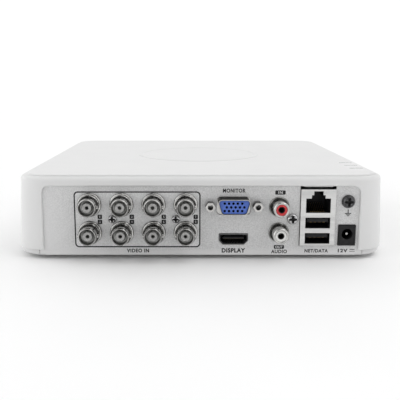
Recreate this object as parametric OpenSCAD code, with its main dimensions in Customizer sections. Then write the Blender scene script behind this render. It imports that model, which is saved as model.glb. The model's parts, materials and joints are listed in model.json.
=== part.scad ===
// Compact eight-channel video recorder, seen from its connector side.
// +Z is up, -Y is the connector side, +X is to the right when facing the connectors.
// The origin is the centre of the bounding box, on the plane of the feet.

/* [Casing] */
// Width of the casing at its lower rim
case_w = 200; // [196:1:210]
// Depth of the casing at its lower rim
case_d = 200; // [198:1:206]
// Height of the raised flat top above the surface it stands on
case_h = 45.5; // [45.5:0.5:50]
// Plan radius of the casing's corners
corner_r = 16; // [12:1:20]
// Wall thickness of the moulded upper shell
wall = 2.2; // [2:0.1:2.4]
// How much narrower the shell is at its top than at its rim
top_taper = 3.6; // [2:0.2:4.4]
// Width of the step between the raised top and the shell's edge
ledge_w = 3.4; // [2.5:0.1:4]
// Height of that step
ledge_h = 0.9; // [0.6:0.1:1.2]
// Outer radius of the raised ring on the top
ring_r = 40.7; // [30:0.1:50]
// Width of the raised ring
ring_w = 3.3; // [2:0.1:5]
// Height of the rubber feet
foot_h = 2; // [1.5:0.5:3]
// Radius of the rubber feet
foot_r = 7; // [5:0.5:8]

/* [Connector panel] */
// Distance of the panel's face in front of the rim of the shell
panel_inset = 1.4; // [1.2:0.1:1.6]
// Thickness of the steel panel
sheet = 0.8; // [0.6:0.1:1]
// Half width of the opening that shows the panel
opening_half_w = 84; // [84:0.5:86]
// Height of the top edge of that opening
opening_top = 39.8; // [39.8:0.1:40.2]
// Columns of video inputs, two inputs in each
bnc_columns = 4; // [4:4]
// Distance between the columns
bnc_pitch_x = 17; // [16.5:0.1:17.2]
// Distance between the upper and lower row
bnc_pitch_z = 15.2; // [15:0.1:15.6]
// How far a video input stands out of the panel
bnc_reach = 10.7; // [10:0.1:11.5]
// Radius of the outer sleeve of an audio socket
rca_r = 4.15; // [4:0.05:4.2]
// How far an audio socket stands out of the panel
rca_reach = 9.5; // [8.5:0.1:10]
// Distance between the two jackscrews of the monitor socket
jackscrew_pitch = 24.99; // [24.9:0.01:25]
// Radius of the thread of a jackscrew hole
jackscrew_thread_r = 1.42; // [1.3:0.01:1.5]
// Radius of the pin of the power inlet
dc_pin_r = 1; // [0.8:0.05:1.25]

/* [Electronics] */
// Height of the top face of the circuit board
board_top = 7.7; // [7.6:0.1:7.8]
// Thickness of the circuit board
board_t = 1.6; // [1.2:0.1:1.6]
// Length of the hard drive
drive_l = 147; // [146:1:147]
// Width of the hard drive
drive_w = 101.6; // [101.6:0.1:101.8]
// Height of the hard drive
drive_h = 26.1; // [20:0.1:26.2]
// Radius of a drive platter
platter_r = 47.5; // [45:0.5:47.5]

/* [Hidden] */

$fn = 48;
eps = 0.01;
gap = 0.3;

// Casing
panel_y = -case_d / 2 + panel_inset;
shift_y = (bnc_reach - panel_inset) / 2;
top_w = case_w - top_taper;
top_d = case_d - 0.4;
shoulder_z = case_h - ledge_h;
edge_r = 2.2;
ring_h = 0.3;
seam_z = 5;
rim_z = seam_z + gap;
roof_t = 1.7;
tray_inset = 0.9;
floor_z = foot_h + 2;
lip_top = 8;
lip_half_w = case_w / 2 - wall - 0.6;
lip_half_d = case_d / 2 - wall - 0.6;
foot_x = 76;
foot_y = 78;
boss_x = 88;
boss_y = 87;
boss_r = 3.8;
screw_r = 1.5;
fit_gap = 0.08;
panel_half_w = 86.4;
panel_top = 41.6;
fold = 11;
opening_bevel = 0.9;
led_x = 89;
led_y = [-47, -58.6, -71];
led_slot = [7.6, 2.6];
slot_w = 2.6;
slot_pitch = 6;
window_r = 3.8;
window_drop = 20;
boss_rib_t = 1.4;
boss_rib_h = 34;
tray_lip_t = 1.6;
tray_edge = 1.5;
board_post = [[-70, -72], [-70, -26], [4, -26], [78, -26], [44, -50], [88, -76]];
board_post_r = 2.8;
drive_post_r = 4.6;
cover_screw_r = 3.1;
cover_screw_depth = 2.6;
drive_screw_r = 3.4;
drive_screw_depth = 1.8;

// Connectors, as positions on the panel
bnc_x = -59.2;
bnc_z = 29.85;
bnc_body_r = 4.75;
bnc_depth = 6.5;
bnc_mouth_r = 4.1;
bnc_mouth_floor = 3.6;
insulator_r = 2.4;
contact_r = 1;
vga_x = 17.35;
vga_z = 29.3;
display_x = 17.4;
display_z = 11.1;
rca_x = 41.5;
rca_z = [28.7, 14.8];
lan_x = 62;
lan_w = 18.5;
lan_top = 38.2;
lan_depth = 21;
usb_z = [20.1, 11.7];
usb_size = [13.2, 5.8];
dc_x = 77.9;
dc_z = 14;
dc_size = [9.1, 11.1];
ground_x = 77.9;
ground_z = 31.6;
rca_screw_x = 48.7;
side_screw_z = 22.1;
bnc_screw_x = [-47.2, -13.4];
vga_pin_pitch = 2.29;
vga_row_pitch = 1.98;
vga_depth = 6;
jackscrew_reach = 5;
jackscrew_r = 2.75;
jackscrew_shank_r = 2;
shank_length = 7;
display_depth = 11;
display_size = [15.2, 5.7];
display_cut = 1.9;
rca_flange_r = 5.15;
rca_body_r = 4.9;
rca_bore_r = 2.9;
rca_pin_r = 1.65;
rca_depth = 5;
shield_t = 0.3;
block_reach = 1;
lan_mouth_depth = 13;
usb_mouth_depth = 11;
dc_bore_r = 2.9;
dc_depth = 9;
washer_t = 0.6;
washer_r = 3.55;
ground_thread_r = 2;

// Electronics
board_bottom = board_top - board_t;
drive_x = 0;
drive_y = 42.6;
drive_z = 5.4;
hub_x = -20;
platter_z = [12.4, 18.2];
pivot_x = 42;
pivot_y = drive_y - 30;
drive_hole_x = [32.2, -12.2];
drive_hole_half = 47.625;
lid_t = 1.2;
drive_floor = 4.2;
spindle_h = 12;
spindle_r = 3;
pivot_r = 2.5;
bearing_gap = 0.05;
platter_t = 1.3;
arm_length = 52;
arm_angle = 146;
blade_z = [platter_z[0] - 2.2, (platter_z[0] + platter_z[1]) / 2 + 0.1, platter_z[1] + 2.5];
chip_at = [-8, -52];
cell_at = [-44, -56];
buzzer_at = [-66, -58];
data_header = [58, -30];
power_header = [20, -32];
header_plug_top = board_top + 13.2;
plug_x = drive_x + drive_l / 2;
plug_z = drive_z + 4;
data_plug = [plug_x + 8.5, drive_y - 8];
power_plug = [plug_x + 12.6, drive_y + 14];

function bnc_at(i) = [bnc_x + floor(i / 2) * bnc_pitch_x, bnc_z - (i % 2) * bnc_pitch_z];
function arc(c, r, a0, a1, n = 6) =
    [for (i = [0:n]) [c[0] + r * cos(a0 + (a1 - a0) * i / n), c[1] + r * sin(a0 + (a1 - a0) * i / n)]];

// Placing
module in_case() translate([0, shift_y, 0]) children();

// Puts a shape drawn along +Z onto the panel's face at x, z, pointing out of it
module on_panel(x, z) in_case() translate([x, panel_y, z]) rotate([90, 0, 0]) children();

module four(x, y) for (sx = [-1, 1], sy = [-1, 1]) translate([sx * x, sy * y, 0]) children();

// Flat shapes
module rounded_rect(w, d, r) {
    square([w - 2 * r, d], center = true);
    square([w, d - 2 * r], center = true);
    for (sx = [-1, 1], sy = [-1, 1])
        translate([sx * (w / 2 - r), sy * (d / 2 - r)]) circle(r);
}

module ring2d(outer_r, inner_r) difference() {
    circle(outer_r);
    circle(inner_r);
}

module slab(z, w, d, r) translate([0, 0, z - eps]) linear_extrude(eps) rounded_rect(w, d, r, $fn = 64);

// Block from a low corner to a high corner, in the casing's frame
module block(lo, hi) in_case() translate(lo) cube(hi - lo);

// Outline of the monitor plug: wide at the top, narrow at the bottom
module d_profile(w_top, w_bottom, h, r) polygon(concat(
    arc([w_top / 2 - r, h / 2 - r], r, -10, 90),
    arc([-w_top / 2 + r, h / 2 - r], r, 90, 190),
    arc([-w_bottom / 2 + r, -h / 2 + r], r, 190, 270),
    arc([w_bottom / 2 - r, -h / 2 + r], r, 270, 350)));

// Outline of the digital display socket: lower corners cut off
module display_profile(w, h, cut) polygon([
    [w / 2, h / 2], [-w / 2, h / 2], [-w / 2, -h / 2 + cut],
    [-w / 2 + cut, -h / 2], [w / 2 - cut, -h / 2], [w / 2, -h / 2 + cut]]);

// Cross recess for a screw driver, cut down from z = 0
module cross_recess(size, depth) for (a = [45, 135])
    rotate([0, 0, a]) translate([-size / 2, -size / 8, -depth]) cube([size, size / 4, depth + 1]);

// Pan head screw pointing down -Z, with its head seated on z = 0
module pan_screw(head_r, head_h, shank_r, length) difference() {
    union() {
        rotate_extrude() polygon(concat(
            [[0, 0], [head_r, 0]],
            arc([head_r - head_h * 0.6, head_h * 0.4], head_h * 0.6, 0, 90),
            [[0, head_h]]));
        translate([0, 0, -length]) cylinder(h = length + head_h * 0.2, r = shank_r);
    }
    translate([0, 0, head_h]) cross_recess(head_r * 1.15, head_h * 0.7);
}

// Casing
module cover_outside() hull() {
    slab(rim_z + eps, case_w, case_d, corner_r);
    slab(shoulder_z - edge_r, top_w, top_d, corner_r);
    slab(shoulder_z - 0.3 * edge_r, top_w - 0.6 * edge_r, top_d - 0.6 * edge_r, corner_r - 0.3 * edge_r);
    slab(shoulder_z, top_w - 2 * edge_r, top_d - 2 * edge_r, corner_r - edge_r);
}

module cover_inside() hull() {
    slab(rim_z - 1, case_w - 2 * wall, case_d - 2 * wall, corner_r - wall);
    slab(shoulder_z - roof_t, top_w - 2 * wall, top_d - 2 * wall, corner_r - wall);
}

// Opening for the panel: rounded above, open below, with a bevelled border
module panel_window(grow, y_out, y_in) translate([0, y_in, 0]) rotate([90, 0, 0])
    linear_extrude(y_in - y_out) translate([0, (opening_top + grow - window_drop) / 2])
        rounded_rect(2 * (opening_half_w + grow), opening_top + grow + window_drop, window_r + grow);

module cover_boss() difference() {
    union() {
        translate([0, 0, lip_top + gap]) cylinder(h = shoulder_z - roof_t - lip_top, r = boss_r);
        translate([0, -boss_rib_t / 2, lip_top + 1])
            cube([case_w / 2 - wall - boss_x - 0.4, boss_rib_t, boss_rib_h]);
        translate([-boss_rib_t / 2, 0, lip_top + 1])
            cube([boss_rib_t, case_d / 2 - wall - boss_y - 0.1, boss_rib_h]);
    }
    translate([0, 0, lip_top]) cylinder(h = 14, r = screw_r + fit_gap);
}

module top_cover() color("white") in_case() difference() {
    union() {
        difference() {
            cover_outside();
            cover_inside();
        }
        translate([0, 0, shoulder_z - 0.5]) linear_extrude(ledge_h + 0.5)
            rounded_rect(top_w - 2 * ledge_w, top_d - 2 * ledge_w, corner_r - ledge_w);
        translate([0, 0, case_h - eps]) difference() {
            cylinder(h = ring_h + eps, r1 = ring_r, r2 = ring_r - 0.5, $fn = 96);
            translate([0, 0, -1])
                cylinder(h = ring_h + 1 + 2 * eps, r = ring_r - ring_w + 0.4, $fn = 96);
        }
        for (sx = [0, 1], sy = [0, 1]) mirror([sx, 0, 0]) mirror([0, sy, 0])
            translate([boss_x, boss_y, 0]) cover_boss();
    }
    panel_window(0, -case_d, panel_y + 3);
    hull() {
        panel_window(opening_bevel, -case_d / 2 - 2 * eps, -case_d / 2 - eps);
        panel_window(0, -case_d / 2 + opening_bevel, -case_d / 2 + opening_bevel + eps);
    }
    translate([-panel_half_w - gap, panel_y - gap, 0]) cube([2 * (panel_half_w + gap), 3, panel_top + gap]);
    for (y = led_y) translate([led_x - led_slot[0] / 2, y - led_slot[1] / 2, shoulder_z - 5])
        cube([led_slot[0], led_slot[1], 10]);
}

module tray_outside() hull() {
    slab(foot_h + eps, case_w - 2 * (tray_inset + tray_edge),
         case_d - 2 * (tray_inset + tray_edge), corner_r - 2);
    slab(foot_h + 0.6 * tray_edge, case_w - 2 * tray_inset - 0.4 * tray_edge,
         case_d - 2 * tray_inset - 0.4 * tray_edge, corner_r - 1);
    slab(seam_z, case_w - 2 * tray_inset, case_d - 2 * tray_inset, corner_r - 1);
}

module tray_lip_inside()
    rounded_rect(2 * (lip_half_w - tray_lip_t), 2 * (lip_half_d - tray_lip_t), corner_r - wall - 2);

module at_drive_holes() for (x = drive_hole_x, s = [-1, 1])
    translate([x, drive_y + s * drive_hole_half, 0]) children();

module tray_post(r, top) translate([0, 0, floor_z - 0.5]) cylinder(h = top - floor_z + 0.5, r = r);

module base_tray() color("gainsboro") in_case() difference() {
    union() {
        difference() {
            tray_outside();
            translate([0, 0, floor_z]) linear_extrude(10)
                tray_lip_inside();
        }
        translate([0, 0, floor_z]) linear_extrude(lip_top - floor_z) difference() {
            rounded_rect(2 * lip_half_w, 2 * lip_half_d, corner_r - wall - 0.6);
            tray_lip_inside();
        }
        four(boss_x, boss_y) tray_post(boss_r + 0.6, lip_top);
        for (p = board_post) translate([p[0], p[1], 0]) tray_post(board_post_r, board_bottom);
        at_drive_holes() tray_post(drive_post_r, drive_z);
    }
    // Room for the steel panel and for its folded lower edge
    translate([-panel_half_w - gap, -case_d, -1])
        cube([2 * (panel_half_w + gap), case_d + panel_y + sheet, 20]);
    translate([-panel_half_w - gap, -case_d, floor_z])
        cube([2 * (panel_half_w + gap), case_d / 2 + 5, 20]);
    translate([-opening_half_w, panel_y, foot_h - 1]) cube([2 * opening_half_w, fold + gap, 1 + sheet]);
    // Cover screws
    four(boss_x, boss_y) {
        translate([0, 0, foot_h - 1]) cylinder(h = 1 + cover_screw_depth, r = cover_screw_r);
        translate([0, 0, foot_h]) cylinder(h = 10, r = screw_r + 0.2);
    }
    // Board screws
    for (p = board_post) translate([p[0], p[1], foot_h + 0.8]) cylinder(h = 10, r = 1.25);
    // Drive screws
    at_drive_holes() {
        cylinder(h = foot_h + drive_screw_depth, r = drive_screw_r);
        cylinder(h = 10, r = 1.8);
    }
    // Ventilation slots below the main chip and below the drive
    for (i = [0:7]) translate([-36 + i * slot_pitch, -66, 0]) cube([slot_w, 26, 10]);
    for (s = [-1, 1], i = [0:3]) translate([s * (53 + i * slot_pitch) - slot_w / 2, 20, 0])
        cube([slot_w, 40, 10]);
}

module rear_panel() color("silver") difference() {
    in_case() union() {
        translate([0, panel_y + sheet, 0]) rotate([90, 0, 0]) linear_extrude(sheet)
            translate([0, (foot_h + panel_top) / 2]) union() {
                rounded_rect(2 * panel_half_w, panel_top - foot_h, 5);
                translate([-panel_half_w, -(panel_top - foot_h) / 2]) square([2 * panel_half_w, 8]);
            }
        translate([-opening_half_w + gap, panel_y + eps, foot_h])
            cube([2 * (opening_half_w - gap), fold, sheet]);
    }
    for (i = [0:2 * bnc_columns - 1]) on_panel(bnc_at(i)[0], bnc_at(i)[1]) panel_hole(bnc_body_r + 0.1);
    on_panel(vga_x, vga_z) translate([0, 0, -3]) linear_extrude(5) rounded_rect(17.8, 9.7, 2);
    for (s = [-1, 1]) on_panel(vga_x + s * jackscrew_pitch / 2, vga_z) panel_hole(jackscrew_shank_r + 0.1);
    on_panel(display_x, display_z) translate([0, 0, -3]) linear_extrude(5)
        display_profile(display_size[0] + 0.4, display_size[1] + 0.4, display_cut + 0.2);
    for (z = rca_z) on_panel(rca_x, z) panel_hole(rca_flange_r + 0.2);
    for (x = concat(bnc_screw_x, [rca_screw_x])) on_panel(x, side_screw_z) panel_hole(screw_r + 0.1);
    block([lan_x - lan_w / 2 - 0.25, panel_y - 2, 7.4], [lan_x + lan_w / 2 + 0.25, panel_y + 2, 39.4]);
    for (s = [-1, 1])
        block([lan_x + s * 8.6 - 1, panel_y - 2, 36], [lan_x + s * 8.6 + 1, panel_y + 2, 39.9]);
    block([dc_x - dc_size[0] / 2 - 0.15, panel_y - 2, board_top - 0.2],
          [dc_x + dc_size[0] / 2 + 0.15, panel_y + 2, board_top + dc_size[1] + 0.2]);
    on_panel(ground_x, ground_z) panel_hole(ground_thread_r + fit_gap);
}

module panel_hole(r) translate([0, 0, -3]) cylinder(h = 5, r = r);

module light_guide() color("whitesmoke") in_case() {
    for (y = led_y) {
        translate([led_x - led_slot[0] / 2 + 0.05, y - led_slot[1] / 2 + 0.05, shoulder_z - 8])
            cube([led_slot[0] - 0.1, led_slot[1] - 0.1, case_h - shoulder_z + 8 - 0.05]);
        translate([led_x - 2, y - 1.2, board_top + 2.4]) cube([4, 2.4, shoulder_z - 8 - board_top]);
    }
    translate([led_x - 3, led_y[2] - 1.2, shoulder_z - 8]) cube([2, led_y[0] - led_y[2] + 2.4, 4]);
}

module rubber_feet() color("dimgray") in_case() four(foot_x, foot_y) rotate_extrude()
    polygon([[0, 0], [foot_r - 0.6, 0], [foot_r, 0.6], [foot_r, foot_h], [0, foot_h]]);

module cover_screws() color("gray") in_case() four(boss_x, boss_y)
    translate([0, 0, foot_h + cover_screw_depth]) rotate([180, 0, 0]) pan_screw(2.8, 2, screw_r, 14);

module panel_screws() color("silver") {
    for (x = bnc_screw_x) on_panel(x, side_screw_z) pan_screw(2.2, 1.5, screw_r, 7);
    on_panel(rca_screw_x, side_screw_z) pan_screw(2.85, 1.9, screw_r, 7);
}

// Video inputs
module bnc_shell(i) color("silver") on_panel(bnc_at(i)[0], bnc_at(i)[1]) {
    rotate_extrude() polygon([
        [bnc_body_r, -bnc_depth], [bnc_body_r, 0], [6.35, 0], [6.35, 1.1], [6.05, 1.4],
        [5.35, 1.4], [5.35, 2.2],
        [5.6, 2.4], [5.6, 3.1], [5.35, 3.3], [5.6, 3.5], [5.6, 4.2], [5.35, 4.4],
        [4.85, 4.4], [4.85, bnc_reach - 0.25], [4.6, bnc_reach],
        [bnc_mouth_r + 0.2, bnc_reach], [bnc_mouth_r, bnc_reach - 0.25], [bnc_mouth_r, bnc_mouth_floor],
        [insulator_r, bnc_mouth_floor], [insulator_r, -bnc_depth]]);
    for (s = [-1, 1]) translate([s * 4.7, 0, bnc_reach - 3.4]) rotate([0, s * 90, 0])
        cylinder(h = 0.85, r = 1);
}

module bnc_shell_1() bnc_shell(0);
module bnc_shell_2() bnc_shell(1);
module bnc_shell_3() bnc_shell(2);
module bnc_shell_4() bnc_shell(3);
module bnc_shell_5() bnc_shell(4);
module bnc_shell_6() bnc_shell(5);
module bnc_shell_7() bnc_shell(6);
module bnc_shell_8() bnc_shell(7);

module bnc_insulators() color("white") for (i = [0:2 * bnc_columns - 1])
    on_panel(bnc_at(i)[0], bnc_at(i)[1]) translate([0, 0, -bnc_depth])
        linear_extrude(bnc_depth + bnc_reach - 1.4) ring2d(insulator_r, contact_r);

module bnc_contacts() color("gold") for (i = [0:2 * bnc_columns - 1])
    on_panel(bnc_at(i)[0], bnc_at(i)[1]) rotate_extrude() polygon([
        [0, -bnc_depth], [contact_r, -bnc_depth], [contact_r, bnc_reach - 2],
        [0.65, bnc_reach - 2], [0.65, 2], [0, 2]]);

module bnc_housing(first) color([0.12, 0.12, 0.12]) difference() {
    block([bnc_at(first)[0] - 7.6, panel_y + sheet, board_top],
          [bnc_at(first)[0] + bnc_pitch_x + 7.6, panel_y + 19, 37.2]);
    for (i = [first:first + 3]) on_panel(bnc_at(i)[0], bnc_at(i)[1])
        translate([0, 0, -bnc_depth]) cylinder(h = 8, r = bnc_body_r);
    on_panel(bnc_screw_x[first / 4], side_screw_z) translate([0, 0, -shank_length - 0.2])
        cylinder(h = 8, r = screw_r);
}

module bnc_housing_left() bnc_housing(0);
module bnc_housing_right() bnc_housing(4);

// Monitor socket
module vga_shell() color("silver") {
    on_panel(vga_x, vga_z) {
        translate([0, 0, -vga_depth]) linear_extrude(vga_depth + 5.2) difference() {
            d_profile(16.9, 14.4, 8.3, 2);
            d_profile(16.1, 13.6, 7.5, 1.7);
        }
        translate([0, 0, -sheet - 0.5]) linear_extrude(0.5) difference() {
            rounded_rect(30.8, 12.4, 1.5);
            d_profile(16.9, 14.4, 8.3, 2);
            for (s = [-1, 1]) translate([s * jackscrew_pitch / 2, 0]) circle(jackscrew_shank_r + 0.1);
        }
    }
}

module vga_insert() color("royalblue") on_panel(vga_x, vga_z) difference() {
    translate([0, 0, -vga_depth]) linear_extrude(vga_depth + 4.5) d_profile(15.7, 13.3, 7.1, 1.6);
    for (row = [-1:1], i = [0:4])
        translate([(i - 2) * vga_pin_pitch + (row == 0 ? 0.62 : -0.5), row * vga_row_pitch, -2])
            cylinder(h = 8, r = 0.58);
}

module vga_jackscrews() color("silver") for (s = [-1, 1])
    on_panel(vga_x + s * jackscrew_pitch / 2, vga_z) difference() {
        union() {
            cylinder(h = jackscrew_reach, r = jackscrew_r, $fn = 6);
            translate([0, 0, -shank_length]) cylinder(h = shank_length + eps, r = jackscrew_shank_r);
        }
        translate([0, 0, -0.4]) cylinder(h = jackscrew_reach + 1, r = jackscrew_thread_r);
    }

module vga_housing() color([0.12, 0.12, 0.12]) difference() {
    block([vga_x - 15.6, panel_y + sheet + 0.5, board_top], [vga_x + 15.6, panel_y + 17, 36]);
    on_panel(vga_x, vga_z) translate([0, 0, -vga_depth]) linear_extrude(8) d_profile(16.9, 14.4, 8.3, 2);
    for (s = [-1, 1]) on_panel(vga_x + s * jackscrew_pitch / 2, vga_z)
        translate([0, 0, -shank_length - 0.2]) cylinder(h = 8, r = jackscrew_shank_r);
    block([display_x - 7.9, panel_y, board_top - 1], [display_x + 7.9, panel_y + 20, 14.6]);
}

// Digital display socket
module display_socket_shell() color([0.2, 0.2, 0.2]) on_panel(display_x, display_z)
    translate([0, 0, -display_depth]) linear_extrude(display_depth + 0.5) difference() {
        display_profile(display_size[0], display_size[1], display_cut);
        display_profile(display_size[0] - 0.8, display_size[1] - 0.8, display_cut - 0.2);
    }

module display_socket_tongue() color([0.1, 0.1, 0.1]) on_panel(display_x, display_z) {
    translate([0, 0, -display_depth]) linear_extrude(1.5)
        display_profile(display_size[0] - 0.8, display_size[1] - 0.8, display_cut - 0.2);
    translate([-5.6, 0, 1.4 - display_depth]) cube([11.2, 1.1, display_depth - 1.8]);
}

// Audio sockets
module rca_shell(i) color("silver") on_panel(rca_x, rca_z[i]) rotate_extrude() polygon([
    [rca_body_r, -rca_depth], [rca_body_r, -sheet], [rca_flange_r, -sheet], [rca_flange_r, 0.2],
    [rca_flange_r - 0.3, 0.5], [rca_r + 0.3, 0.5], [rca_r, 0.9], [rca_r, rca_reach - 0.4],
    [rca_r - 0.4, rca_reach], [rca_bore_r + 0.2, rca_reach], [rca_bore_r, rca_reach - 0.2],
    [rca_bore_r, -rca_depth]]);

module rca_shell_in() rca_shell(0);
module rca_shell_out() rca_shell(1);

module rca_insert(i) on_panel(rca_x, rca_z[i]) rotate_extrude() polygon([
    [0, -rca_depth], [rca_bore_r, -rca_depth], [rca_bore_r, rca_reach - 0.3],
    [rca_pin_r + 0.25, rca_reach - 0.3], [rca_pin_r, rca_reach - 0.6], [rca_pin_r, 0], [0, 0]]);

module rca_insert_in() color("firebrick") rca_insert(0);
module rca_insert_out() color("white") rca_insert(1);

module rca_housing() color([0.12, 0.12, 0.12]) difference() {
    union() {
        block([rca_x - 6, panel_y + sheet, board_top], [rca_x + 6, panel_y + 14, 36]);
        block([rca_x, panel_y + sheet, 18], [rca_screw_x + 3.4, panel_y + 9, 26]);
    }
    for (z = rca_z) on_panel(rca_x, z) translate([0, 0, -rca_depth]) cylinder(h = 8, r = rca_body_r);
    on_panel(rca_screw_x, side_screw_z) translate([0, 0, -shank_length - 0.2]) cylinder(h = 8, r = screw_r);
}

// Network and data sockets in one shielded block
module lan_mouth(from, to) on_panel(lan_x, 0) translate([0, 0, from]) linear_extrude(to - from) {
    translate([-6.5, 25.6]) square([13, 7.7]);
    translate([-3.6, 33]) square([7.2, 2.1]);
    translate([-2.45, 35]) square([4.9, 2.2]);
}

module usb_mouth(z, from, to) on_panel(lan_x, z) translate([0, 0, from])
    linear_extrude(to - from) square(usb_size, center = true);

module lan_usb_shield() color("lightgray") difference() {
    block([lan_x - lan_w / 2, panel_y - block_reach, board_top],
          [lan_x + lan_w / 2, panel_y + lan_depth, lan_top]);
    block([lan_x - lan_w / 2 + shield_t, panel_y - block_reach + shield_t, board_top - 1],
          [lan_x + lan_w / 2 - shield_t, panel_y + lan_depth - shield_t, lan_top - shield_t]);
    lan_mouth(-2, 3);
    for (z = usb_z) usb_mouth(z, -2, 3);
}

module lan_usb_core() color([0.1, 0.1, 0.1]) difference() {
    block([lan_x - lan_w / 2 + shield_t, panel_y - block_reach + shield_t, board_top],
          [lan_x + lan_w / 2 - shield_t, panel_y + lan_depth - shield_t, lan_top - shield_t]);
    lan_mouth(-lan_mouth_depth, 3);
    for (z = usb_z) usb_mouth(z, -usb_mouth_depth, 3);
}

module usb_tongue(z) color([0.25, 0.25, 0.25]) on_panel(lan_x, z)
    translate([-5.7, 0.3, -usb_mouth_depth]) cube([11.4, 1.9, usb_mouth_depth]);

module usb_tongue_upper() usb_tongue(usb_z[0]);
module usb_tongue_lower() usb_tongue(usb_z[1]);

// Power inlet
module dc_jack_housing() color([0.1, 0.1, 0.1]) difference() {
    block([dc_x - dc_size[0] / 2, panel_y - block_reach, board_top],
          [dc_x + dc_size[0] / 2, panel_y + 13, board_top + dc_size[1]]);
    on_panel(dc_x, dc_z) {
        translate([0, 0, -dc_depth]) cylinder(h = 20, r = dc_bore_r);
        translate([0, 0, -dc_depth - 1.5]) cylinder(h = 3, r = dc_pin_r);
    }
}

module dc_jack_pin() color("silver") on_panel(dc_x, dc_z) rotate_extrude() polygon([
    [0, -dc_depth - 1.5], [dc_pin_r, -dc_depth - 1.5], [dc_pin_r, -0.7], [dc_pin_r - 0.4, 0], [0, 0]]);

// Earthing screw with its captive washer
module ground_washer() color([0.08, 0.08, 0.08]) on_panel(ground_x, ground_z)
    translate([0, 0, 0.05]) linear_extrude(washer_t) ring2d(washer_r, ground_thread_r + fit_gap);

module ground_screw() color([0.08, 0.08, 0.08]) on_panel(ground_x, ground_z)
    translate([0, 0, washer_t + 0.1]) pan_screw(3.2, 2, ground_thread_r, 6.5);

// Main board
module main_board() color("darkgreen") in_case() translate([0, 0, board_bottom]) difference() {
    translate([-76, panel_y + sheet + 0.4, 0]) cube([169, 78, board_t]);
    translate([82, -110, -1]) cube([20, 30, 5]);
    for (p = board_post) translate([p[0], p[1], -1]) cylinder(h = 5, r = 1.4);
}

module chip(x, y, w, d, h, z = board_top) in_case() translate([x - w / 2, y - d / 2, z]) cube([w, d, h]);

module main_chip() color([0.15, 0.15, 0.15]) chip(chip_at[0], chip_at[1], 23, 23, 1.6);

module heatsink() color([0.2, 0.2, 0.22]) in_case()
    translate([chip_at[0] - 15, chip_at[1] - 15, board_top + 1.6]) {
        cube([30, 30, 2]);
        for (i = [0:8]) translate([i * 3.6, 0, 2 - eps]) cube([1.2, 30, 8]);
    }

module memory_chips() color([0.15, 0.15, 0.15]) for (y = [-60, -43]) chip(24, y, 14, 10, 1.1);

module capacitors() color("silver") in_case() for (p = [[66, -64], [78, -46], [66, -46], [-56, -40]])
    translate([p[0], p[1], board_top]) cylinder(h = 11.5, r = 4);

module coin_cell_holder() color([0.15, 0.15, 0.15]) in_case()
    translate([cell_at[0], cell_at[1], board_top]) difference() {
        cylinder(h = 5, r = 11.6);
        translate([0, 0, 1.2]) cylinder(h = 5, r = 10.05);
        translate([-3, -20, 1.2]) cube([6, 12, 5]);
    }

module coin_cell() color("silver") in_case()
    translate([cell_at[0], cell_at[1], board_top + 1.2]) cylinder(h = 3.2, r = 10);

module buzzer() color([0.1, 0.1, 0.1]) in_case()
    translate([buzzer_at[0], buzzer_at[1], board_top]) difference() {
        cylinder(h = 7.5, r = 6);
        translate([0, 0, 5]) cylinder(h = 5, r = 1.1);
    }

module status_leds() color("white") for (y = led_y) chip(led_x, y, 3, 1.6, 1.2);

module board_screws() color("silver") in_case() for (p = board_post)
    translate([p[0], p[1], board_top]) pan_screw(2.4, 1.6, 1.25, 4.6);

// Drive sockets on the board and the two leads to the drive
module header(at, w, d, h) difference() {
    chip(at[0], at[1], w, d, h);
    chip(at[0], at[1], w - 1.6, d - 1.6, h, board_top + 1.2);
}

module drive_headers() color([0.12, 0.12, 0.12]) {
    header(data_header, 15, 6, 7);
    header(power_header, 12, 6, 8);
}

// Sweep of a flat or round section along a smooth route through a few points
function spline(p, i, t) =
    let (n = len(p) - 1, a = p[max(i - 1, 0)], b = p[i], c = p[i + 1], d = p[min(i + 2, n)])
    0.5 * (2 * b + (c - a) * t + (2 * a - 5 * b + 4 * c - d) * t * t + (3 * b - a - 3 * c + d) * t * t * t);
function unit(v) = v / norm(v);
function route(p, steps) = concat(
    [for (i = [0:len(p) - 2], k = [0:steps - 1]) spline(p, i, k / steps)], [p[len(p) - 1]]);

// points is the route, across the direction of the section's width at each of its points
module sweep(points, across, steps, half_w, half_t) {
    r = route(points, steps);
    side = route(across, steps);
    n = len(r);
    last = len(points) - 1;
    section = [for (a = [22.5:45:337.5]) [cos(a), sin(a)] * 1.08];
    verts = [for (i = [0:n - 1]) let (
        d = unit(i == 0 ? points[1] - points[0]
            : i == n - 1 ? points[last] - points[last - 1] : r[i + 1] - r[i - 1]),
        v = unit(cross(d, side[i])),
        u = cross(v, d))
        for (s = section) r[i] + u * s[0] * half_w + v * s[1] * half_t];
    in_case() polyhedron(verts, concat(
        [[for (k = [7:-1:0]) k]],
        [for (i = [0:n - 2], k = [0:7]) [i * 8 + k, i * 8 + (k + 1) % 8, (i + 1) * 8 + (k + 1) % 8]],
        [for (i = [0:n - 2], k = [0:7]) [i * 8 + k, (i + 1) * 8 + (k + 1) % 8, (i + 1) * 8 + k]],
        [[for (k = [0:7]) (n - 1) * 8 + k]]), convexity = 6);
}

module data_lead() color("firebrick") sweep([
    [data_header[0], data_header[1], header_plug_top - 1], [data_header[0], data_header[1], 24.5],
    [64, -24, 28.5], [76, -13, 29], [83, 0, 27.5], [84, 14, 24.5], [82.8, 28, 20],
    [data_plug[0], data_plug[1], 15.5], [data_plug[0], data_plug[1], 11]],
    [[1, 0, 0], [1, 0, 0], [0.8, -0.6, 0], [0.7, -0.7, 0], [0.9, -0.4, 0], [1, 0, 0],
     [0.8, -0.6, 0], [0, -1, 0], [0, -1, 0]],
    4, 3.6, 0.6);

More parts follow.
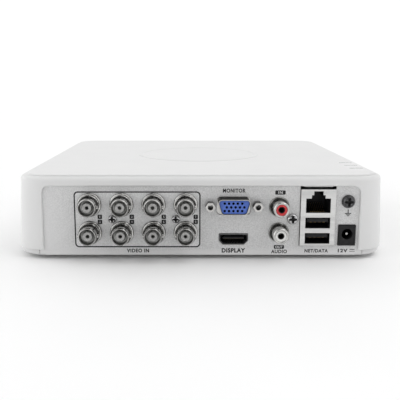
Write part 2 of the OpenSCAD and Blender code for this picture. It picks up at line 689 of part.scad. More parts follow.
// The wires lie one above the other, so that the lowest leaves first at both ends
module power_wire(k) {
    x = power_header[0] + 3.6 - 2.4 * k;
    y = power_plug[1] - 4.2 + 2.8 * k;
    rise = 2.3 * k;
    sweep([
        [x, power_header[1], header_plug_top - 1], [x, power_header[1], 24 + rise],
        [x + 5.5, power_header[1] + 1, 31 + rise], [56, -25, 31.5 + rise], [83, -12, 31 + rise],
        [91, 12, 27 + rise], [92.2, y - 14, 20 + rise], [92.6, y - 3, 13 + 0.5 * rise],
        [power_plug[0] + 3.4, y, plug_z], [power_plug[0] - 1, y, plug_z]],
        [for (i = [0:9]) i < 2 ? [0, 1, 0] : [0, 0, 1]],
        3, 0.8, 0.8);
}

module power_lead() color([0.1, 0.1, 0.1]) for (k = [0:3]) power_wire(k);

module lead_plugs() color([0.12, 0.12, 0.12]) {
    chip(data_header[0], data_header[1], 13, 4, header_plug_top - board_top - 1.4, board_top + 1.4);
    chip(power_header[0], power_header[1], 10, 4, header_plug_top - board_top - 1.4, board_top + 1.4);
    block([plug_x + 3.6, data_plug[1] - 6.5, plug_z - 2.6], [plug_x + 12.6, data_plug[1] + 6.5, 12]);
    block([plug_x + 3.6, power_plug[1] - 11.5, plug_z - 2.6],
          [plug_x + 12.6, power_plug[1] + 11.5, plug_z + 2.6]);
}

// Hard drive
module drive_at() in_case() translate([drive_x, drive_y, drive_z]) children();

// Well for the platters and the arm, drawn in the drive's own plan
module drive_well() {
    translate([hub_x, 0]) circle(platter_r + 1);
    translate([4, -drive_w / 2 + 4]) square([drive_l / 2 - 8, 42]);
    translate([4, -30]) square([40, 54]);
}

module drive_casting() color("darkgray") drive_at() {
    translate([hub_x - drive_x, 0, drive_floor - eps]) cylinder(h = spindle_h, r = spindle_r);
    translate([pivot_x - drive_x, pivot_y - drive_y, drive_floor - eps])
        cylinder(h = spindle_h, r = pivot_r);
    difference() {
        linear_extrude(drive_h - lid_t) rounded_rect(drive_l, drive_w, 2);
        translate([0, 0, drive_floor]) linear_extrude(drive_h) drive_well();
        // Recess for the circuit board on the underside and for the connector at the end
        translate([-drive_l / 2 + 14, -drive_w / 2 + 10, -1]) cube([drive_l, drive_w - 20, 3]);
        for (x = drive_hole_x, s = [-1, 1]) translate([x, s * drive_hole_half, -1])
            cylinder(h = 7, r = 1.72);
    }
}

module drive_lid() color("silver") drive_at() translate([0, 0, drive_h - lid_t])
    linear_extrude(lid_t) difference() {
        rounded_rect(drive_l, drive_w, 2);
        for (p = [[-68, -45], [-68, 45], [68, -45], [68, 45], [0, 47.5], [36, 2]])
            translate(p) circle(2.2);
    }

module drive_platters() color("whitesmoke") in_case()
    translate([drive_x + hub_x, drive_y, drive_z]) difference() {
        union() {
            translate([0, 0, drive_floor + gap]) cylinder(h = 12.7, r = 8.8);
            for (z = platter_z) translate([0, 0, z - drive_z])
                cylinder(h = platter_t, r = platter_r - 0.5, $fn = 96);
            translate([0, 0, drive_floor + 12]) cylinder(h = 2, r = 14);
        }
        translate([0, 0, drive_floor]) cylinder(h = spindle_h + gap, r = spindle_r + bearing_gap);
    }

// The arm carries one blade below, between and above the platters, and a flat coil behind its pivot
module drive_actuator() color("gray") in_case() translate([pivot_x, pivot_y, drive_z]) difference() {
    union() {
        translate([0, 0, drive_floor + gap]) cylinder(h = 14.5, r = 5.8);
        rotate([0, 0, arm_angle]) for (z = blade_z) translate([0, 0, z - drive_z]) linear_extrude(1)
            polygon([[0, -5.5], [arm_length * 0.55, -3], [arm_length, -1.2],
                     [arm_length, 1.2], [arm_length * 0.55, 3], [0, 5.5]]);
        rotate([0, 0, arm_angle + 180]) translate([0, 0, 9.4]) linear_extrude(3)
            polygon([[0, -5], [13, -7.5], [14.5, 0], [13, 7.5], [0, 5]]);
    }
    translate([0, 0, drive_floor]) cylinder(h = spindle_h + gap, r = pivot_r + bearing_gap);
}

module drive_board() color("darkgreen") drive_at()
    translate([-drive_l / 2 + 15, -drive_w / 2 + 11, 0.3]) cube([drive_l - 22, drive_w - 22, 1.6]);

module drive_connector() color([0.1, 0.1, 0.1]) drive_at() difference() {
    translate([drive_l / 2 - 6.5, -18, 0]) cube([7.5, 46, 1.9]);
    translate([drive_l / 2 - 1, 2, -1]) cube([3, 1.5, 5]);
}

module drive_screws() color("gray") in_case() at_drive_holes()
    translate([0, 0, foot_h + drive_screw_depth]) rotate([180, 0, 0]) pan_screw(3.1, 1.5, 1.7, 6);

top_cover();
base_tray();
rear_panel();
light_guide();
rubber_feet();
cover_screws();
panel_screws();
bnc_shell_1();
bnc_shell_2();
bnc_shell_3();
bnc_shell_4();
bnc_shell_5();
bnc_shell_6();
bnc_shell_7();
bnc_shell_8();
bnc_insulators();
bnc_contacts();
bnc_housing_left();
bnc_housing_right();
vga_shell();
vga_insert();
vga_jackscrews();
vga_housing();
display_socket_shell();
display_socket_tongue();
rca_shell_in();
rca_shell_out();
rca_insert_in();
rca_insert_out();
rca_housing();
lan_usb_shield();
lan_usb_core();
usb_tongue_upper();
usb_tongue_lower();
dc_jack_housing();
dc_jack_pin();
ground_washer();
ground_screw();
main_board();
main_chip();
heatsink();
memory_chips();
capacitors();
coin_cell();
coin_cell_holder();
buzzer();
status_leds();
board_screws();
drive_headers();
data_lead();
power_lead();
lead_plugs();
drive_casting();
drive_lid();
drive_platters();
drive_actuator();
drive_board();
drive_connector();
drive_screws();
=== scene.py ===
"""Looks of the compact video recorder: camera, studio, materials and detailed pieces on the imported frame.

Lengths in the code are millimetres in the row frame; mm() turns them into metres.
"""
import json
import math
import random

import bmesh
import bpy
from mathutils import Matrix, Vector

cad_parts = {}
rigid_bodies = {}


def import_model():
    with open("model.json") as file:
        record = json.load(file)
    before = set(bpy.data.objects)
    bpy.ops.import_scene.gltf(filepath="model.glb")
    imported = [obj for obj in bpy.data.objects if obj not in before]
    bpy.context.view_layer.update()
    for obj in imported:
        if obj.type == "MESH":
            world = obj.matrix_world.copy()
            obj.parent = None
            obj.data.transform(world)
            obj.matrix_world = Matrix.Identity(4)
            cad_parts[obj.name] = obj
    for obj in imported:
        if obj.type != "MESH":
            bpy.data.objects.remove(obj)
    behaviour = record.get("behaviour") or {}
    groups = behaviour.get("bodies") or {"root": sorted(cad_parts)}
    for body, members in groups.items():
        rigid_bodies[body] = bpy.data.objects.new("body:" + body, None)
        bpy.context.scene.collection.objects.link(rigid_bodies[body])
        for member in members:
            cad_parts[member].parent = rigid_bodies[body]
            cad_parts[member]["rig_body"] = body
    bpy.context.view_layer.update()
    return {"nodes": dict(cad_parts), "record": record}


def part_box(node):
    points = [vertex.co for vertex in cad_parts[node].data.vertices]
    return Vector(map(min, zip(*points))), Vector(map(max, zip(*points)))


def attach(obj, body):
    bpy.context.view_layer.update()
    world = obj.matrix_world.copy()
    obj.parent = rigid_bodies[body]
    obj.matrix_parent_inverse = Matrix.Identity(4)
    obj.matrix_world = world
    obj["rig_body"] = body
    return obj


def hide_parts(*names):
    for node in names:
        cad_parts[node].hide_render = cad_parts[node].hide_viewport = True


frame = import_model()
NODES = frame["nodes"]


def mm(*values):
    return Vector(values) * 0.001 if len(values) > 1 else values[0] * 0.001


def low(node):
    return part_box(node)[0] * 1000


def high(node):
    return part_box(node)[1] * 1000


def middle(node):
    return (low(node) + high(node)) / 2


PANEL_Y = low("rear_panel").y          # outer face of the steel panel
BOARD_Z = high("main_board").z         # upper face of the circuit board


# ---------------------------------------- materials
def link(tree, a, b):
    tree.links.new(a, b)


def node(tree, kind, **settings):
    made = tree.nodes.new(kind)
    for key, value in settings.items():
        if key[0] == "_":
            made.inputs[key[1:].replace("_", " ")].default_value = value
        else:
            setattr(made, key, value)
    return made


def ramp(tree, fac, stops):
    """A colour ramp; a stop's colour is (r, g, b), or one number for a grey."""
    made = node(tree, "ShaderNodeValToRGB")
    elements = made.color_ramp.elements
    while len(elements) < len(stops):
        elements.new(0.5)
    for element, (place, colour) in zip(elements, stops):
        element.position = place
        element.color = (*(colour if isinstance(colour, tuple) else (colour,) * 3), 1)
    link(tree, fac, made.inputs["Fac"])
    return made.outputs["Color"]


def between(tree, fac, a, b):
    made = node(tree, "ShaderNodeMapRange", _To_Min=a, _To_Max=b, _From_Min=0.3, _From_Max=0.7)
    link(tree, fac, made.inputs["Value"])
    return made.outputs["Result"]


EVEN = (1, 1, 1)
TURNED = (1, 14, 1)        # rings round the Y axis
TURNED_Z = (1, 1, 14)      # rings round the Z axis
BRUSHED = (0.06, 1, 1)     # lines along X


def noise(tree, scale, detail, stretch, kind="noise"):
    place = node(tree, "ShaderNodeTexCoord")
    mapping = node(tree, "ShaderNodeMapping")
    mapping.inputs["Scale"].default_value = stretch
    link(tree, place.outputs["Object"], mapping.inputs["Vector"])
    if kind == "cells":
        made = node(tree, "ShaderNodeTexVoronoi", _Scale=scale)
        link(tree, mapping.outputs["Vector"], made.inputs["Vector"])
        return made.outputs["Distance"]
    made = node(tree, "ShaderNodeTexNoise", _Scale=scale, _Detail=detail)
    link(tree, mapping.outputs["Vector"], made.inputs["Vector"])
    return made.outputs["Fac"]


def grained(scale, height, stretch=EVEN):
    """Noise as relief: features per metre, height in mm and stretch."""
    return scale, height, "noise", stretch


def pebbled(scale, height):
    """Small round cells as relief: features per metre and height in mm."""
    return scale, height, "cells", EVEN


def material(name, dark, light, rough, grain, stretch=EVEN, metallic=0.0, bump=None,
             wear=None, **shader):
    """dark and light are the ends of the colour's variation, rough those of the roughness.
    bump comes from grained() or pebbled(); wear is the colour of rubbed edges."""
    made = bpy.data.materials.new(name)
    made.use_nodes = True
    tree = made.node_tree
    principled = tree.nodes["Principled BSDF"]
    principled.inputs["Metallic"].default_value = metallic
    for key, value in shader.items():
        principled.inputs[key.replace("_", " ")].default_value = value
    variation = noise(tree, grain, 5, stretch)
    colour = ramp(tree, variation, [(0.32, dark), (0.68, light)])
    if wear:
        geometry = node(tree, "ShaderNodeNewGeometry")
        edge = ramp(tree, geometry.outputs["Pointiness"], [(0.53, 0), (0.62, 1)])
        mix = node(tree, "ShaderNodeMix", data_type="RGBA")
        link(tree, edge, mix.inputs["Factor"])
        link(tree, colour, mix.inputs["A"])
        worn = ramp(tree, variation, [(0.3, wear), (0.7, light)])
        link(tree, worn, mix.inputs["B"])
        colour = mix.outputs["Result"]
    link(tree, colour, principled.inputs["Base Color"])
    link(tree, between(tree, noise(tree, grain * 2.3, 4, stretch), *rough), principled.inputs["Roughness"])
    if bump:
        scale, height, kind, along = bump
        raised = node(tree, "ShaderNodeBump", _Strength=1.0, _Distance=mm(height))
        link(tree, noise(tree, scale, 3, along, kind), raised.inputs["Height"])
        link(tree, raised.outputs["Normal"], principled.inputs["Normal"])
    return made


MATERIALS = {
    "cover_plastic": material(
        "white spark-textured ABS", 0.708, (0.722, 0.722, 0.720), (0.40, 0.45), 30,
        bump=pebbled(2600, 0.006), Specular_IOR_Level=0.22),
    "tray_plastic": material(
        "light grey spark-textured ABS", 0.66, 0.69, (0.42, 0.52), 60,
        bump=pebbled(2600, 0.008), Specular_IOR_Level=0.25),
    "panel_paint": material(
        "speckled silver-grey paint", 0.53, 0.71, (0.38, 0.55), 1700,
        metallic=0.18, bump=grained(2400, 0.012), wear=0.7),
    "clear_plastic": material(
        "frosted light guide", (0.60, 0.61, 0.62), (0.66, 0.67, 0.68), (0.18, 0.3), 900,
        bump=grained(1500, 0.004), Transmission_Weight=0.35, IOR=1.49),
    "foot_rubber": material(
        "black rubber", 0.018, (0.034, 0.034, 0.033), (0.6, 0.8), 700,
        bump=grained(1800, 0.03)),
    "zinc_steel": material(
        "zinc-plated steel", (0.42, 0.42, 0.43), 0.62, (0.14, 0.26), 800,
        metallic=1.0, bump=grained(900, 0.002)),
    "nickel": material(
        "turned nickel", (0.42, 0.415, 0.405), (0.60, 0.595, 0.58), (0.10, 0.18), 220, TURNED,
        metallic=1.0, bump=grained(260, 0.0008, TURNED)),
    "dielectric": material(
        "fluoropolymer insulator", (0.36, 0.36, 0.35), (0.46, 0.46, 0.45), (0.35, 0.5), 500,
        bump=grained(1500, 0.004, TURNED)),
    "black_plastic": material(
        "black moulded nylon", (0.009, 0.009, 0.010), (0.019, 0.019, 0.020), (0.4, 0.55), 500,
        bump=pebbled(2200, 0.006), Specular_IOR_Level=0.25),
    "blue_plastic": material(
        "blue moulded insert", (0.055, 0.12, 0.46), (0.08, 0.165, 0.56), (0.35, 0.5), 600,
        bump=grained(2500, 0.005)),
    "red_plastic": material(
        "red moulded insert", (0.50, 0.022, 0.028), (0.62, 0.04, 0.045), (0.25, 0.4), 600,
        bump=grained(1500, 0.004, TURNED)),
    "white_plastic": material(
        "white moulded insert", (0.72, 0.72, 0.70), (0.80, 0.80, 0.78), (0.25, 0.4), 600,
        bump=grained(1500, 0.004, TURNED)),
    "shield_steel": material(
        "tin-plated shield", (0.60, 0.60, 0.595), (0.74, 0.74, 0.73), (0.26, 0.42), 500, BRUSHED,
        metallic=1.0, bump=grained(700, 0.0012, BRUSHED)),
    "black_steel": material(
        "black oxide steel", (0.04, 0.04, 0.042), (0.09, 0.09, 0.093), (0.22, 0.34), 900,
        metallic=0.5, bump=grained(1500, 0.005), wear=0.22),
    "board_green": material(
        "green solder mask", (0.008, 0.075, 0.035), (0.016, 0.12, 0.055), (0.2, 0.34), 160,
        bump=pebbled(260, 0.03), Coat_Weight=0.4),
    "chip_epoxy": material(
        "moulding compound", (0.018, 0.018, 0.02), (0.035, 0.035, 0.037), (0.5, 0.65), 1500,
        bump=grained(3000, 0.006)),
    "black_aluminium": material(
        "black anodised aluminium", (0.022, 0.022, 0.025), (0.045, 0.045, 0.05), (0.3, 0.45), 500, BRUSHED,
        metallic=0.7, bump=grained(1200, 0.006, BRUSHED), wear=0.2),
    "can_aluminium": material(
        "capacitor can", (0.60, 0.60, 0.62), (0.76, 0.76, 0.78), (0.22, 0.34), 500, TURNED_Z,
        metallic=1.0),
    "cell_steel": material(
        "cell steel", 0.60, (0.74, 0.74, 0.73), (0.2, 0.32), 600, BRUSHED,
        metallic=1.0, bump=grained(900, 0.004, BRUSHED)),
    "led_white": material(
        "light emitting diode", (0.72, 0.70, 0.58), (0.82, 0.80, 0.68), (0.2, 0.3), 900),
    "red_sheath": material(
        "red lead sheath", (0.40, 0.018, 0.018), (0.52, 0.03, 0.03), (0.35, 0.5), 400,
        bump=grained(900, 0.01)),
    "wire_sheath": material(
        "wire insulation", 0.012, 0.03, (0.35, 0.5), 400,
        bump=grained(900, 0.01)),
    "cast_aluminium": material(
        "cast aluminium", (0.29, 0.29, 0.30), (0.36, 0.36, 0.37), (0.4, 0.6), 900,
        metallic=0.9, bump=grained(1600, 0.02)),
    "lid_steel": material(
        "stamped steel lid", (0.52, 0.52, 0.53), (0.66, 0.66, 0.67), (0.26, 0.42), 400, BRUSHED,
        metallic=1.0, bump=grained(800, 0.004, BRUSHED)),
    "platter_mirror": material(
        "polished platter", (0.70, 0.70, 0.73), (0.78, 0.78, 0.80), (0.03, 0.07), 200, metallic=1.0),
    "arm_aluminium": material(
        "machined aluminium", (0.48, 0.48, 0.49), (0.62, 0.62, 0.63), (0.28, 0.42), 500, BRUSHED,
        metallic=1.0, bump=grained(900, 0.006, BRUSHED)),
}
INK = material("black screen ink", (0.012, 0.012, 0.013), (0.03, 0.03, 0.031), (0.5, 0.65), 2500,
               bump=grained(3000, 0.004), Specular_IOR_Level=0.2)
GOLD = material("gold flash", (0.34, 0.24, 0.10), (0.46, 0.33, 0.15), (0.25, 0.4), 900, metallic=1.0,
                bump=grained(1500, 0.002))
LIGHT_PAINT = material("light panel field", 0.59, 0.77, (0.38, 0.55), 1700,
                       metallic=0.25, bump=grained(2400, 0.012))
# A rougher copy of the nickel, a little darker: painted shade for the insides of the video sockets' bores.
BORE_SHADE = material("rough nickel bore with painted shade", (0.42, 0.42, 0.41), (0.56, 0.56, 0.55), (0.3, 0.42), 220, TURNED,
                metallic=1.0, bump=grained(400, 0.002, TURNED))
# Near-black nickel: painted shade for the grooves and rims of the sockets and the sides of the jackscrews.
NICKEL_SHADE = material("nickel with painted shade", (0.03, 0.03, 0.029), (0.065, 0.065, 0.062), (0.2, 0.32), 220, TURNED,
                metallic=1.0, bump=grained(400, 0.002, TURNED))
# Near-black: painted shade inside screw crosses and contact holes, and on the monitor socket's shell sides.
RECESS_SHADE = material("painted recess shade", 0.012, 0.035, (0.4, 0.6), 900,
                  metallic=0.6, bump=grained(900, 0.004))
CERAMIC = material("chip ceramic", (0.22, 0.14, 0.08), (0.34, 0.23, 0.14), (0.4, 0.55), 700,
                   bump=grained(1500, 0.01))
LABEL = material("blank label", (0.62, 0.62, 0.60), (0.72, 0.72, 0.70), (0.45, 0.6), 500,
                 bump=grained(900, 0.01))
YELLOW_WIRE = material("yellow wire sheath", (0.50, 0.36, 0.02), (0.60, 0.44, 0.03), (0.35, 0.5), 500,
                       bump=grained(1500, 0.005))
RED_WIRE = material("red wire sheath", (0.42, 0.02, 0.02), (0.52, 0.03, 0.03), (0.35, 0.5), 500,
                    bump=grained(1500, 0.005))

SLOT_OF = {part["node"]: part["material_slot"] for part in frame["record"]["subparts"]}


# ---------------------------------------- meshes
def finish_piece(obj, body, slot=None, replaced=(), paint=None, sharp=32):
    while obj.data.materials:
        obj.data.materials.pop()
    obj.data.materials.append(paint or MATERIALS[slot])
    obj.data.shade_smooth()
    obj.data.set_sharp_from_angle(angle=math.radians(sharp))
    weighted = obj.modifiers.new("even shading", "WEIGHTED_NORMAL")
    weighted.keep_sharp = True
    if replaced:
        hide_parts(*replaced)
    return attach(obj, body)


def mesh_object(name, verts, faces):
    data = bpy.data.meshes.new(name)
    data.from_pydata([v * 0.001 for v in map(Vector, verts)], [], faces)
    tidy = bmesh.new()
    tidy.from_mesh(data)
    bmesh.ops.remove_doubles(tidy, verts=tidy.verts, dist=1e-7)
    bmesh.ops.recalc_face_normals(tidy, faces=tidy.faces)
    tidy.to_mesh(data)
    tidy.free()
    obj = bpy.data.objects.new(name, data)
    bpy.context.scene.collection.objects.link(obj)
    return obj


def loft(loops, closed=False, caps=True):
    """Quads between loops of equal length; closed joins the last loop to the first."""
    n = len(loops[0])
    verts = [v for loop in loops for v in loop]
    rows = len(loops)
    faces = [(i * n + k, i * n + (k + 1) % n, (i + 1) % rows * n + (k + 1) % n, (i + 1) % rows * n + k)
             for i in range(rows if closed else rows - 1) for k in range(n)]
    if caps and not closed:
        faces += [tuple(range(n))[::-1], tuple((rows - 1) * n + k for k in range(n))]
    return verts, faces


def softened(profile, radius, steps=3, closed=False):
    """The profile with each corner rounded by at most radius."""
    out = []
    count = len(profile)
    for i, (x, y) in enumerate(profile):
        p = Vector((x, y))
        if not closed and i in (0, count - 1):
            out.append((x, y))
            continue
        a, b = Vector(profile[i - 1]), Vector(profile[(i + 1) % count])
        to_a, to_b = a - p, b - p
        cut = min(radius, to_a.length * 0.45, to_b.length * 0.45)
        start, end = p + to_a.normalized() * cut, p + to_b.normalized() * cut
        for k in range(steps + 1):
            t = k / steps
            q = start * (1 - t) ** 2 + p * 2 * t * (1 - t) + end * t * t
            out.append((q.x, q.y))
    return out


def lathe(profile, centre, out=(0, -1, 0), segments=96):
    """Turns (radius, height) round an axis through centre; out is the way that height points."""
    axis = Vector(out)
    side = axis.orthogonal().normalized()
    other = axis.cross(side)
    loops = []
    for r, h in profile:
        loops.append([Vector(centre) + axis * h + (side * math.cos(a) + other * math.sin(a)) * r
                      for a in (2 * math.pi * k / segments for k in range(segments))])
    return loops


def turned(profile, places, out=(0, -1, 0), segments=96, closed=False):
    """One shape of the same turned profile at several places."""
    return joined(*[loft(lathe(profile, at, out, segments), closed=closed) for at in places])


def joined(*parts):
    """One list of vertices and faces from several."""
    verts, faces = [], []
    for v, f in parts:
        start = len(verts)
        verts += v
        faces += [tuple(i + start for i in face) for face in f]
    return verts, faces


def rounded_rect(w, d, r, n=14):
    points = []
    for sx, sy, start in ((1, 1, 0), (-1, 1, 90), (-1, -1, 180), (1, -1, 270)):
        for k in range(n + 1):
            a = math.radians(start + 90 * k / n)
            points.append((sx * (w / 2 - r) + r * math.cos(a), sy * (d / 2 - r) + r * math.sin(a)))
    return points


def prism(outline, y_front, y_back):
    """The outline in (x, z), pushed from y_front back to y_back."""
    return loft([[(x, y, z) for x, z in outline] for y in (y_front, y_back)])


def box(lo, hi):
    x0, y0, z0 = lo
    x1, y1, z1 = hi
    return loft([[(x0, y0, z0), (x1, y0, z0), (x1, y1, z0), (x0, y1, z0)],
                 [(x0, y0, z1), (x1, y0, z1), (x1, y1, z1), (x0, y1, z1)]])


def bevel(obj, width, segments=2):
    made = obj.modifiers.new("edge radius", "BEVEL")
    made.width = mm(width)
    made.segments = segments
    made.limit_method = "ANGLE"
    made.angle_limit = math.radians(35)
    made.use_clamp_overlap = True


def evaluated(obj):
    """A mesh of obj as its modifiers leave it."""
    bpy.context.view_layer.update()
    return bpy.data.meshes.new_from_object(obj.evaluated_get(bpy.context.evaluated_depsgraph_get()))


def baked(obj):
    """Applies obj's modifiers to its mesh."""
    shape = evaluated(obj)
    obj.modifiers.clear()
    obj.data = shape


def cut(obj, *shapes):
    """Takes the shapes, each (verts, faces), away from obj."""
    tools = []
    for shape in shapes:
        tool = mesh_object("cutter", *shape)
        made = obj.modifiers.new("cut", "BOOLEAN")
        made.operation = "DIFFERENCE"
        made.solver = "EXACT"
        made.object = tool
        tools.append(tool)
    baked(obj)
    for tool in tools:
        bpy.data.objects.remove(tool)


# ---------------------------------------- studio and camera
CAMERA_TILT = 10.945     # degrees below the horizon


def studio():
    """A white room, darker overhead and behind the camera, with bright strips at both sides."""
    scene = bpy.context.scene
    scene.view_settings.view_transform = "Standard"
    camera = bpy.data.objects.new("camera", bpy.data.cameras.new("camera"))
    scene.collection.objects.link(camera)
    camera.location = mm(-7.036, -409.858, 93.463)
    camera.rotation_euler = (math.radians(90 - CAMERA_TILT), 0, 0)
    camera.data.sensor_width = 36
    camera.data.lens = 54.75
    camera.data.shift_x = 0.0306
    camera.data.clip_start = 0.01
    scene.camera = camera

    floor = mesh_object("floor", [(-9000, -9000, 0), (9000, -9000, 0), (9000, 9000, 0), (-9000, 9000, 0)],
                        [(0, 1, 2, 3)])
    floor.data.materials.append(material("pale floor", 0.93, 0.945, (0.6, 0.7), 8))

    world = bpy.data.worlds.new("studio")
    scene.world = world
    world.use_nodes = True
    tree = world.node_tree
    place = node(tree, "ShaderNodeTexCoord")
    direction = place.outputs["Generated"]
    parts = node(tree, "ShaderNodeSeparateXYZ")
    link(tree, direction, parts.inputs["Vector"])
    dome = ramp(tree, parts.outputs["Z"], [(0.12, 1.09), (0.82, 0.92), (0.94, 0.28)])
    facing = node(tree, "ShaderNodeVectorMath", operation="DOT_PRODUCT")
    facing.inputs[1].default_value = (0, -0.85, 0.53)
    link(tree, direction, facing.inputs[0])
    card = ramp(tree, facing.outputs["Value"], [(0.62, 1), (0.82, 0.85), (0.95, 0.12)])
    across = node(tree, "ShaderNodeMapRange", _From_Min=-1)
    link(tree, parts.outputs["X"], across.inputs["Value"])
    strips = ramp(tree, across.outputs["Result"],
                  [(0.03, 1), (0.26, 0.03), (0.5, 0), (0.76, 0), (0.97, 0.35)])
    shaded = node(tree, "ShaderNodeMix", data_type="RGBA", blend_type="MULTIPLY", _Factor=1)
    link(tree, dome, shaded.inputs["A"])
    link(tree, card, shaded.inputs["B"])
    whole = node(tree, "ShaderNodeMix", data_type="RGBA", blend_type="ADD", _Factor=1)
    link(tree, shaded.outputs["Result"], whole.inputs["A"])
    link(tree, strips, whole.inputs["B"])
    link(tree, whole.outputs["Result"], tree.nodes["Background"].inputs["Color"])

    key = bpy.data.objects.new("soft key", bpy.data.lights.new("soft key", "SUN"))
    key.data.energy = 0.82
    key.data.angle = math.radians(50)
    key.rotation_mode = "QUATERNION"
    key.rotation_quaternion = Vector((-0.38, 0.16, -1)).to_track_quat("-Z", "Y")
    scene.collection.objects.link(key)


studio()


# ---------------------------------------- carried-over nodes
def dress_nodes():
    """Gives every CAD node the material of its slot."""
    for name, obj in NODES.items():
        paint = MATERIALS[SLOT_OF[name]]
        if not obj.data.materials:
            obj.data.materials.append(paint)
        for slot in obj.material_slots:
            slot.material = paint


def refined(name, width):
    """Stands for a CAD node with a copy whose edges are rounded."""
    data = NODES[name].data.copy()
    for attribute in [a for a in data.attributes
                      if a.name in ("custom_normal", "sharp_edge", "sharp_face")]:
        data.attributes.remove(attribute)
    tidy = bmesh.new()
    tidy.from_mesh(data)
    bmesh.ops.remove_doubles(tidy, verts=tidy.verts, dist=1e-6)
    bmesh.ops.dissolve_limit(tidy, angle_limit=math.radians(1), verts=tidy.verts, edges=tidy.edges)
    tidy.to_mesh(data)
    tidy.free()
    obj = bpy.data.objects.new(name + "_shape", data)
    bpy.context.scene.collection.objects.link(obj)
    bevel(obj, width)
    baked(obj)
    return finish_piece(obj, NODES[name]["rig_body"], SLOT_OF[name], (name,))


dress_nodes()


# ---------------------------------------- casing
CASE_LO, CASE_HI = low("top_cover"), high("top_cover")
CASE_Y = (CASE_LO.y + CASE_HI.y) / 2
CASE_W, CASE_D = CASE_HI.x - CASE_LO.x, CASE_HI.y - CASE_LO.y
RING_H = 0.3
PLATEAU_Z = CASE_HI.z - RING_H
SHOULDER_Z = PLATEAU_Z - 0.9
CORNER, EDGE, LEDGE, TAPER, DRAFT, WALL, ROOF = 16, 2.2, 3.4, 3.6, 0.4, 2.2, 1.7
OPENING_HALF, OPENING_TOP, OPENING_R = 84, 39.8, 3.8
LED_X, LED_Y, LED_SLOT = 89, (-42.35, -53.95, -66.35), (7.6, 2.6)
BOSS_X, BOSS_Y = 88, 87


def case_loop(z, inset_w, inset_d, r):
    """Outline of the casing at height z, inset from its lower rim, with corners of radius r."""
    return [(x, CASE_Y + y, z) for x, y in rounded_rect(CASE_W - 2 * inset_w, CASE_D - 2 * inset_d, r, 18)]


def arc_steps(n):
    return [math.radians(90 * k / n) for k in range(n + 1)]


def cover_solid():
    """The shell from its inner roof down to the rim, and up outside to the edge of the raised top."""
    side, end = TAPER / 2, DRAFT / 2
    loops = [case_loop(SHOULDER_Z - ROOF, side + WALL + 1.2, end + WALL + 1.2, CORNER - WALL),
             case_loop(SHOULDER_Z - ROOF - 1.2, side + WALL, end + WALL, CORNER - WALL),
             case_loop(CASE_LO.z, WALL, WALL, CORNER - WALL),
             case_loop(CASE_LO.z, 0.3, 0.3, CORNER - 0.3),
             case_loop(CASE_LO.z + 0.1, 0.09, 0.09, CORNER),
             case_loop(CASE_LO.z + 0.35, 0.01, 0.01, CORNER)]
    for a in arc_steps(7):
        inset = EDGE * (1 - math.cos(a))
        loops.append(case_loop(SHOULDER_Z - EDGE + EDGE * math.sin(a), side + inset, end + inset,
                               CORNER - inset))
    for z, inset in ((0.0, -0.35), (0.06, -0.1), (0.2, -0.02), (0.45, 0.0), (0.6, 0.04), (0.75, 0.14),
                     (0.86, 0.32), (0.9, 0.6)):
        inset += LEDGE
        loops.append(case_loop(SHOULDER_Z + z, side + inset, end + inset, CORNER - inset))
    return loft(loops)


def window_loop(y, grow):
    top, drop = OPENING_TOP + grow, 12
    return [(x, y, (top - drop) / 2 + z)
            for x, z in rounded_rect(2 * (OPENING_HALF + grow), top + drop, OPENING_R + grow, 12)]


def panel_window():
    front = CASE_LO.y
    return loft([window_loop(front + back, grow) for back, grow in (
        (-1.0, 1.25), (0.02, 1.05), (0.1, 0.75), (0.3, 0.42), (0.6, 0.18), (1.0, 0.03), (1.3, 0.0),
        (4.4, 0.0))])


def led_slot(x, y):
    w, d = LED_SLOT
    return loft([[(x + a, y + b, PLATEAU_Z + rise)
                  for a, b in rounded_rect(w + 2 * grow, d + 2 * grow, 0.5 + grow, 6)]
                 for rise, grow in ((-5, 0), (-0.3, 0), (-0.08, 0.06), (0.02, 0.25), (1, 0.25))])


def boss(sx, sy):
    """A screw boss with two ribs that tie it to the nearest walls."""
    x, y = BOSS_X * sx, CASE_Y + BOSS_Y * sy
    tube = [(1.58, 8.3), (3.6, 8.3), (3.8, 8.5), (3.8, 43.2), (1.58, 43.2)]
    reach_x, reach_y = CASE_W / 2 - WALL - 0.6, CASE_D / 2 - WALL - 0.1
    return joined(
        loft(lathe(tube, (x, y, 0), (0, 0, 1), 48), closed=True),
        box((min(x + sx * 3.4, sx * reach_x), y - 0.7, 9), (max(x + sx * 3.4, sx * reach_x), y + 0.7, 43)),
        box((x - 0.7, min(y + sy * 3.4, CASE_Y + sy * reach_y), 9),
            (x + 0.7, max(y + sy * 3.4, CASE_Y + sy * reach_y), 43)))


def make_cover():
    cover = mesh_object("cover_shell", *cover_solid())
    recess = box((-86.7, PANEL_Y - 0.3, -1), (86.7, PANEL_Y + 2.7, 41.9))
    cut(cover, panel_window(), recess, *[led_slot(LED_X, y) for y in LED_Y])
    finish_piece(cover, "cover", "cover_plastic", ("top_cover",), sharp=38)
    ring = [(36.9, -0.3), (37.3, 0.0), (37.7, 0.16), (38.2, 0.27), (38.8, RING_H), (40.0, RING_H),
            (40.3, 0.22), (40.55, 0.08), (40.7, -0.3)]
    extras = mesh_object("cover_ring_and_bosses", *joined(
        loft(lathe(ring, (0, CASE_Y, PLATEAU_Z), (0, 0, 1), 160), closed=True),
        *[boss(sx, sy) for sx in (-1, 1) for sy in (-1, 1)]))
    finish_piece(extras, "cover", "cover_plastic")


make_cover()


# ---------------------------------------- connector panel
def circle(x, z, r, n=48):
    return [(x + r * math.cos(2 * math.pi * k / n), z + r * math.sin(2 * math.pi * k / n)) for k in range(n)]


